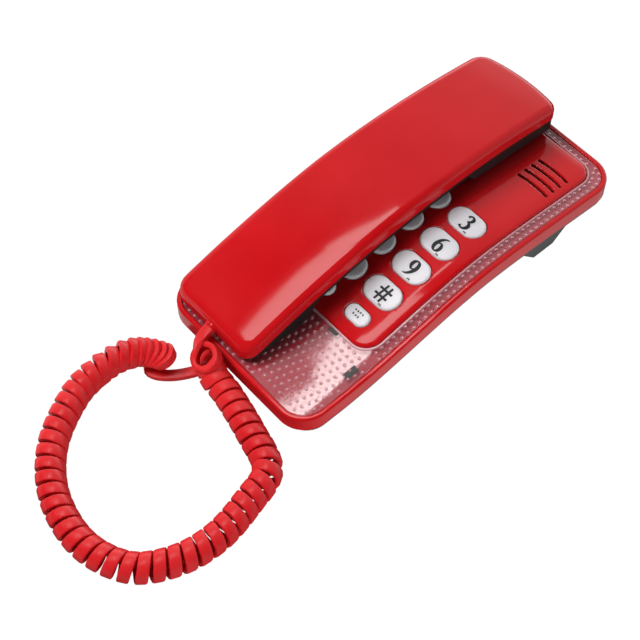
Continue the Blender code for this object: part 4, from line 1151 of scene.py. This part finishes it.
def make_keys():
    for name, x, y, size in key_places():
        key = key_slab(x, y, size, 0.0, KEY_FLANGE_TOP - 0.2, KEY_TOP)
        round_rim(key, KEY_TOP, 1.1, 5)
        slice_across(key, "x", spread(x - size[0] / 2, x + size[0] / 2, 1.6))
        slice_across(key, "y", spread(y - size[1] / 2, y + size[1] / 2, 1.6))
        for vert in key.verts:
            if vert.co.z > KEY_TOP - 1.2:
                vert.co.z += key_crown(vert.co, x, y, size)
        flange = key_slab(x, y, size, 0.7, KEY_FLANGE_UNDER, KEY_FLANGE_TOP)
        add_to(key, flange)
        bend(key, lambda point: point.z + base_arch(point.y))
        body = "button_" + name
        settle("key_cap_" + name, key, KEY_WHITE, body, ("key_" + name,))
        strokes = figure_strokes(name)
        if size is KEY_SIZE:
            mark = pen_strokes(strokes, FIGURE_HEIGHT, x + FIGURE_SHIFT[0], y + FIGURE_SHIFT[1])
            beside = (x + SMALL_MARK_SHIFT[0], y + SMALL_MARK_SHIFT[1])
            add_to(mark, pen_strokes(SMALL_MARKS, SMALL_MARK_HEIGHT, *beside))
        else:
            mark = pen_strokes(strokes, FUNCTION_FIGURE_HEIGHT, x, y)
        bend(
            mark,
            lambda point: point.z + KEY_TOP + key_crown(point, x, y, size)
            + base_arch(point.y) + 0.04,
        )
        settle("key_mark_" + name, mark, KEY_INK, body, even=False)


def make_hook_plunger():
    plunger = key_slab(HANDSET_X, HOOK_Y, HOOK_SIZE, 0.0, HOOK_UNDER, KEY_TOP)
    round_rim(plunger, KEY_TOP, 1.0, 4)
    flange = key_slab(HANDSET_X, HOOK_Y, HOOK_SIZE, 1.0, HOOK_UNDER + 0.05, HOOK_UNDER + 1.05)
    add_to(plunger, flange)
    bend(plunger, lambda point: point.z + base_arch(point.y))
    settle(
        "hook_button", plunger, DARK_MOULDING, "hook", ("hook_plunger",)
    )


def make_stand():
    """Hollow block, drawn up to the bottom cover and narrowed towards the floor."""
    height = 10.0
    stand = block(STAND_PLAN, 0.0, height)
    round_uprights(stand, 1.2, 4)
    round_rim(stand, 0.0, 1.0, 4)
    hollow = block(inset_plan(STAND_PLAN, STAND_WALL), STAND_WALL, height + 2.0)
    stand = carve(stand, [hollow])
    slice_across(stand, "y", spread(*STAND_PLAN[2:], 3.0))
    for vert in stand.verts:
        share = vert.co.z / height
        top = base_arch(vert.co.y) - GAP
        vert.co.z = FOOT_HEIGHT + (top - FOOT_HEIGHT) * share
        reach = 6.0 + 11.0 * share
        vert.co.y = STAND_Y + (vert.co.y - STAND_Y) * reach / 17.0
    settle("stand_block", stand, DARK_MOULDING, "base", ("desk_stand",))


def make_feet():
    for end, y in (("front", FOOT_FRONT_Y), ("back", STAND_Y)):
        for hand, x in (("left", -FOOT_X), ("right", FOOT_X)):
            foot = peg(x, y, FOOT_RADIUS, 0.0, 1.0, 32)
            round_rim(foot, 0.0, 0.35, 3)
            settle(
                f"foot_pad_{end}_{hand}", foot, RUBBER, "base",
                (f"rubber_foot_{end}_{hand}",),
            )


# Handset

def handset_slab(inset, low, high, corner, front_margin=0.0):
    """Block of the handset's plan, with a tighter corner at the right of the earpiece end."""
    left, right, front, back = inset_plan(HANDSET_PLAN, inset)
    shape = block((left, right, front + front_margin, back), low, high)

    def tight(place):
        return place.x > HANDSET_X and place.y > 0.0

    round_uprights(shape, corner, 8, lambda place: not tight(place))
    round_uprights(shape, max(corner - 2.0, 1.0), 8, tight)
    return shape


def bow_handset(shape):
    """Bow the earpiece end, and spread the mouthpiece end a little."""
    slice_across(shape, "x", spread(*HANDSET_PLAN[:2], 2.45))
    slice_across(shape, "y", spread(*HANDSET_PLAN[2:], 4.0))
    for vert in shape.verts:
        x, y = vert.co.x, vert.co.y
        across = (x - HANDSET_X) / HANDSET_HALF
        bow = EAR_BOW + EAR_SKEW * across - EAR_ROUNDING * across * across
        vert.co.y += bow * smooth_step((y - 30.0) / 60.0)
        vert.co.y -= MOUTH_FORWARD * smooth_step((-60.0 - y) / 35.0)
        leftward = MOUTH_SPREAD - SPREAD_LOSS * smooth_step((y + 20.0) / 110.0)
        vert.co.x += min(across, 0.0) * leftward


def make_handset_back():
    shell = handset_slab(0.0, 0.0, HANDSET_HEIGHT, HANDSET_CORNER)
    round_rim(shell, HANDSET_HEIGHT, 4.0, 8)
    round_rim(shell, 0.0, 0.3, 2)
    room_top = HANDSET_HEIGHT - SHELL_WALL
    room = handset_slab(SHELL_WALL, -SHELL_WALL, room_top, HANDSET_CORNER - SHELL_WALL)
    round_rim(room, room_top, 2.2, 3)
    shell = carve(shell, [room])
    bow_handset(shell)

    def height(point):
        across = (point.x - HANDSET_X) / HANDSET_HALF
        depth = 0.9 - 0.55 * smooth_step((point.y + 60.0) / 60.0)
        crown = depth * across * across * point.z / HANDSET_HEIGHT
        return point.z - crown + handset_arch(point.y)

    bend(shell, height)
    settle(
        "handset_red_shell", shell, RED_GLOSS, "handset", ("handset_back_shell",)
    )


def make_handset_face():
    """Dark tray: its rim follows the red shell, its floor and underside the swells."""
    depth = 20.0
    face = handset_slab(FACE_INSET, -depth, 0.0, HANDSET_CORNER - FACE_INSET)
    round_rim(face, -depth, 0.9, 4)
    room = handset_slab(2.5, -depth / 2, depth / 2, HANDSET_CORNER - 2.5, 7.0)
    sound_holes = [(HANDSET_X, MICROPHONE_Y), (HANDSET_X, RECEIVER_Y)]
    for step in range(6):
        angle = math.pi * step / 3
        sound_holes.append((HANDSET_X + 6 * math.cos(angle), RECEIVER_Y + 6 * math.sin(angle)))
    holes = [peg(x, y, 1.1, -30.0, 0.0) for x, y in sound_holes]
    holes += [peg(HANDSET_X, y, SCREW_HOLE_RADIUS, -30.0, 0.0) for y in HANDSET_SCREWS_Y]
    face = carve(face, [room] + holes)
    bow_handset(face)
    slice_across(face, "y", spread(-64.0, -50.0, 1.0) + spread(38.3, 44.3, 0.6))

    def height(point):
        if point.z > -depth / 4:
            return handset_arch(point.y) - GAP + point.z
        if point.z > -depth * 3 / 4:
            return face_underside(point.y) + FACE_FLOOR
        return face_underside(point.y) + point.z + depth

    bend(face, height)
    settle(
        "handset_dark_shell", face, FACE_MOULDING_PAINTED_SHADE, "handset",
        ("handset_face_shell",),
    )


# Making

place_camera()
light_studio()
lay_floor()
cord, cord_path = make_cord()
declare_cord(cord, cord_path)
make_base_housing()
make_bottom_cover()
make_snap_tabs()
make_clear_bezel()
make_keypad_panel()
make_keys()
make_hook_plunger()
make_stand()
make_feet()
make_glands()
make_handset_back()
make_handset_face()
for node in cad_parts.values():
    for place in node.material_slots:
        if place.material and place.material.name.split(".")[0] in FINISH_OF_SLOT:
            place.material = FINISH_OF_SLOT[place.material.name.split(".")[0]]
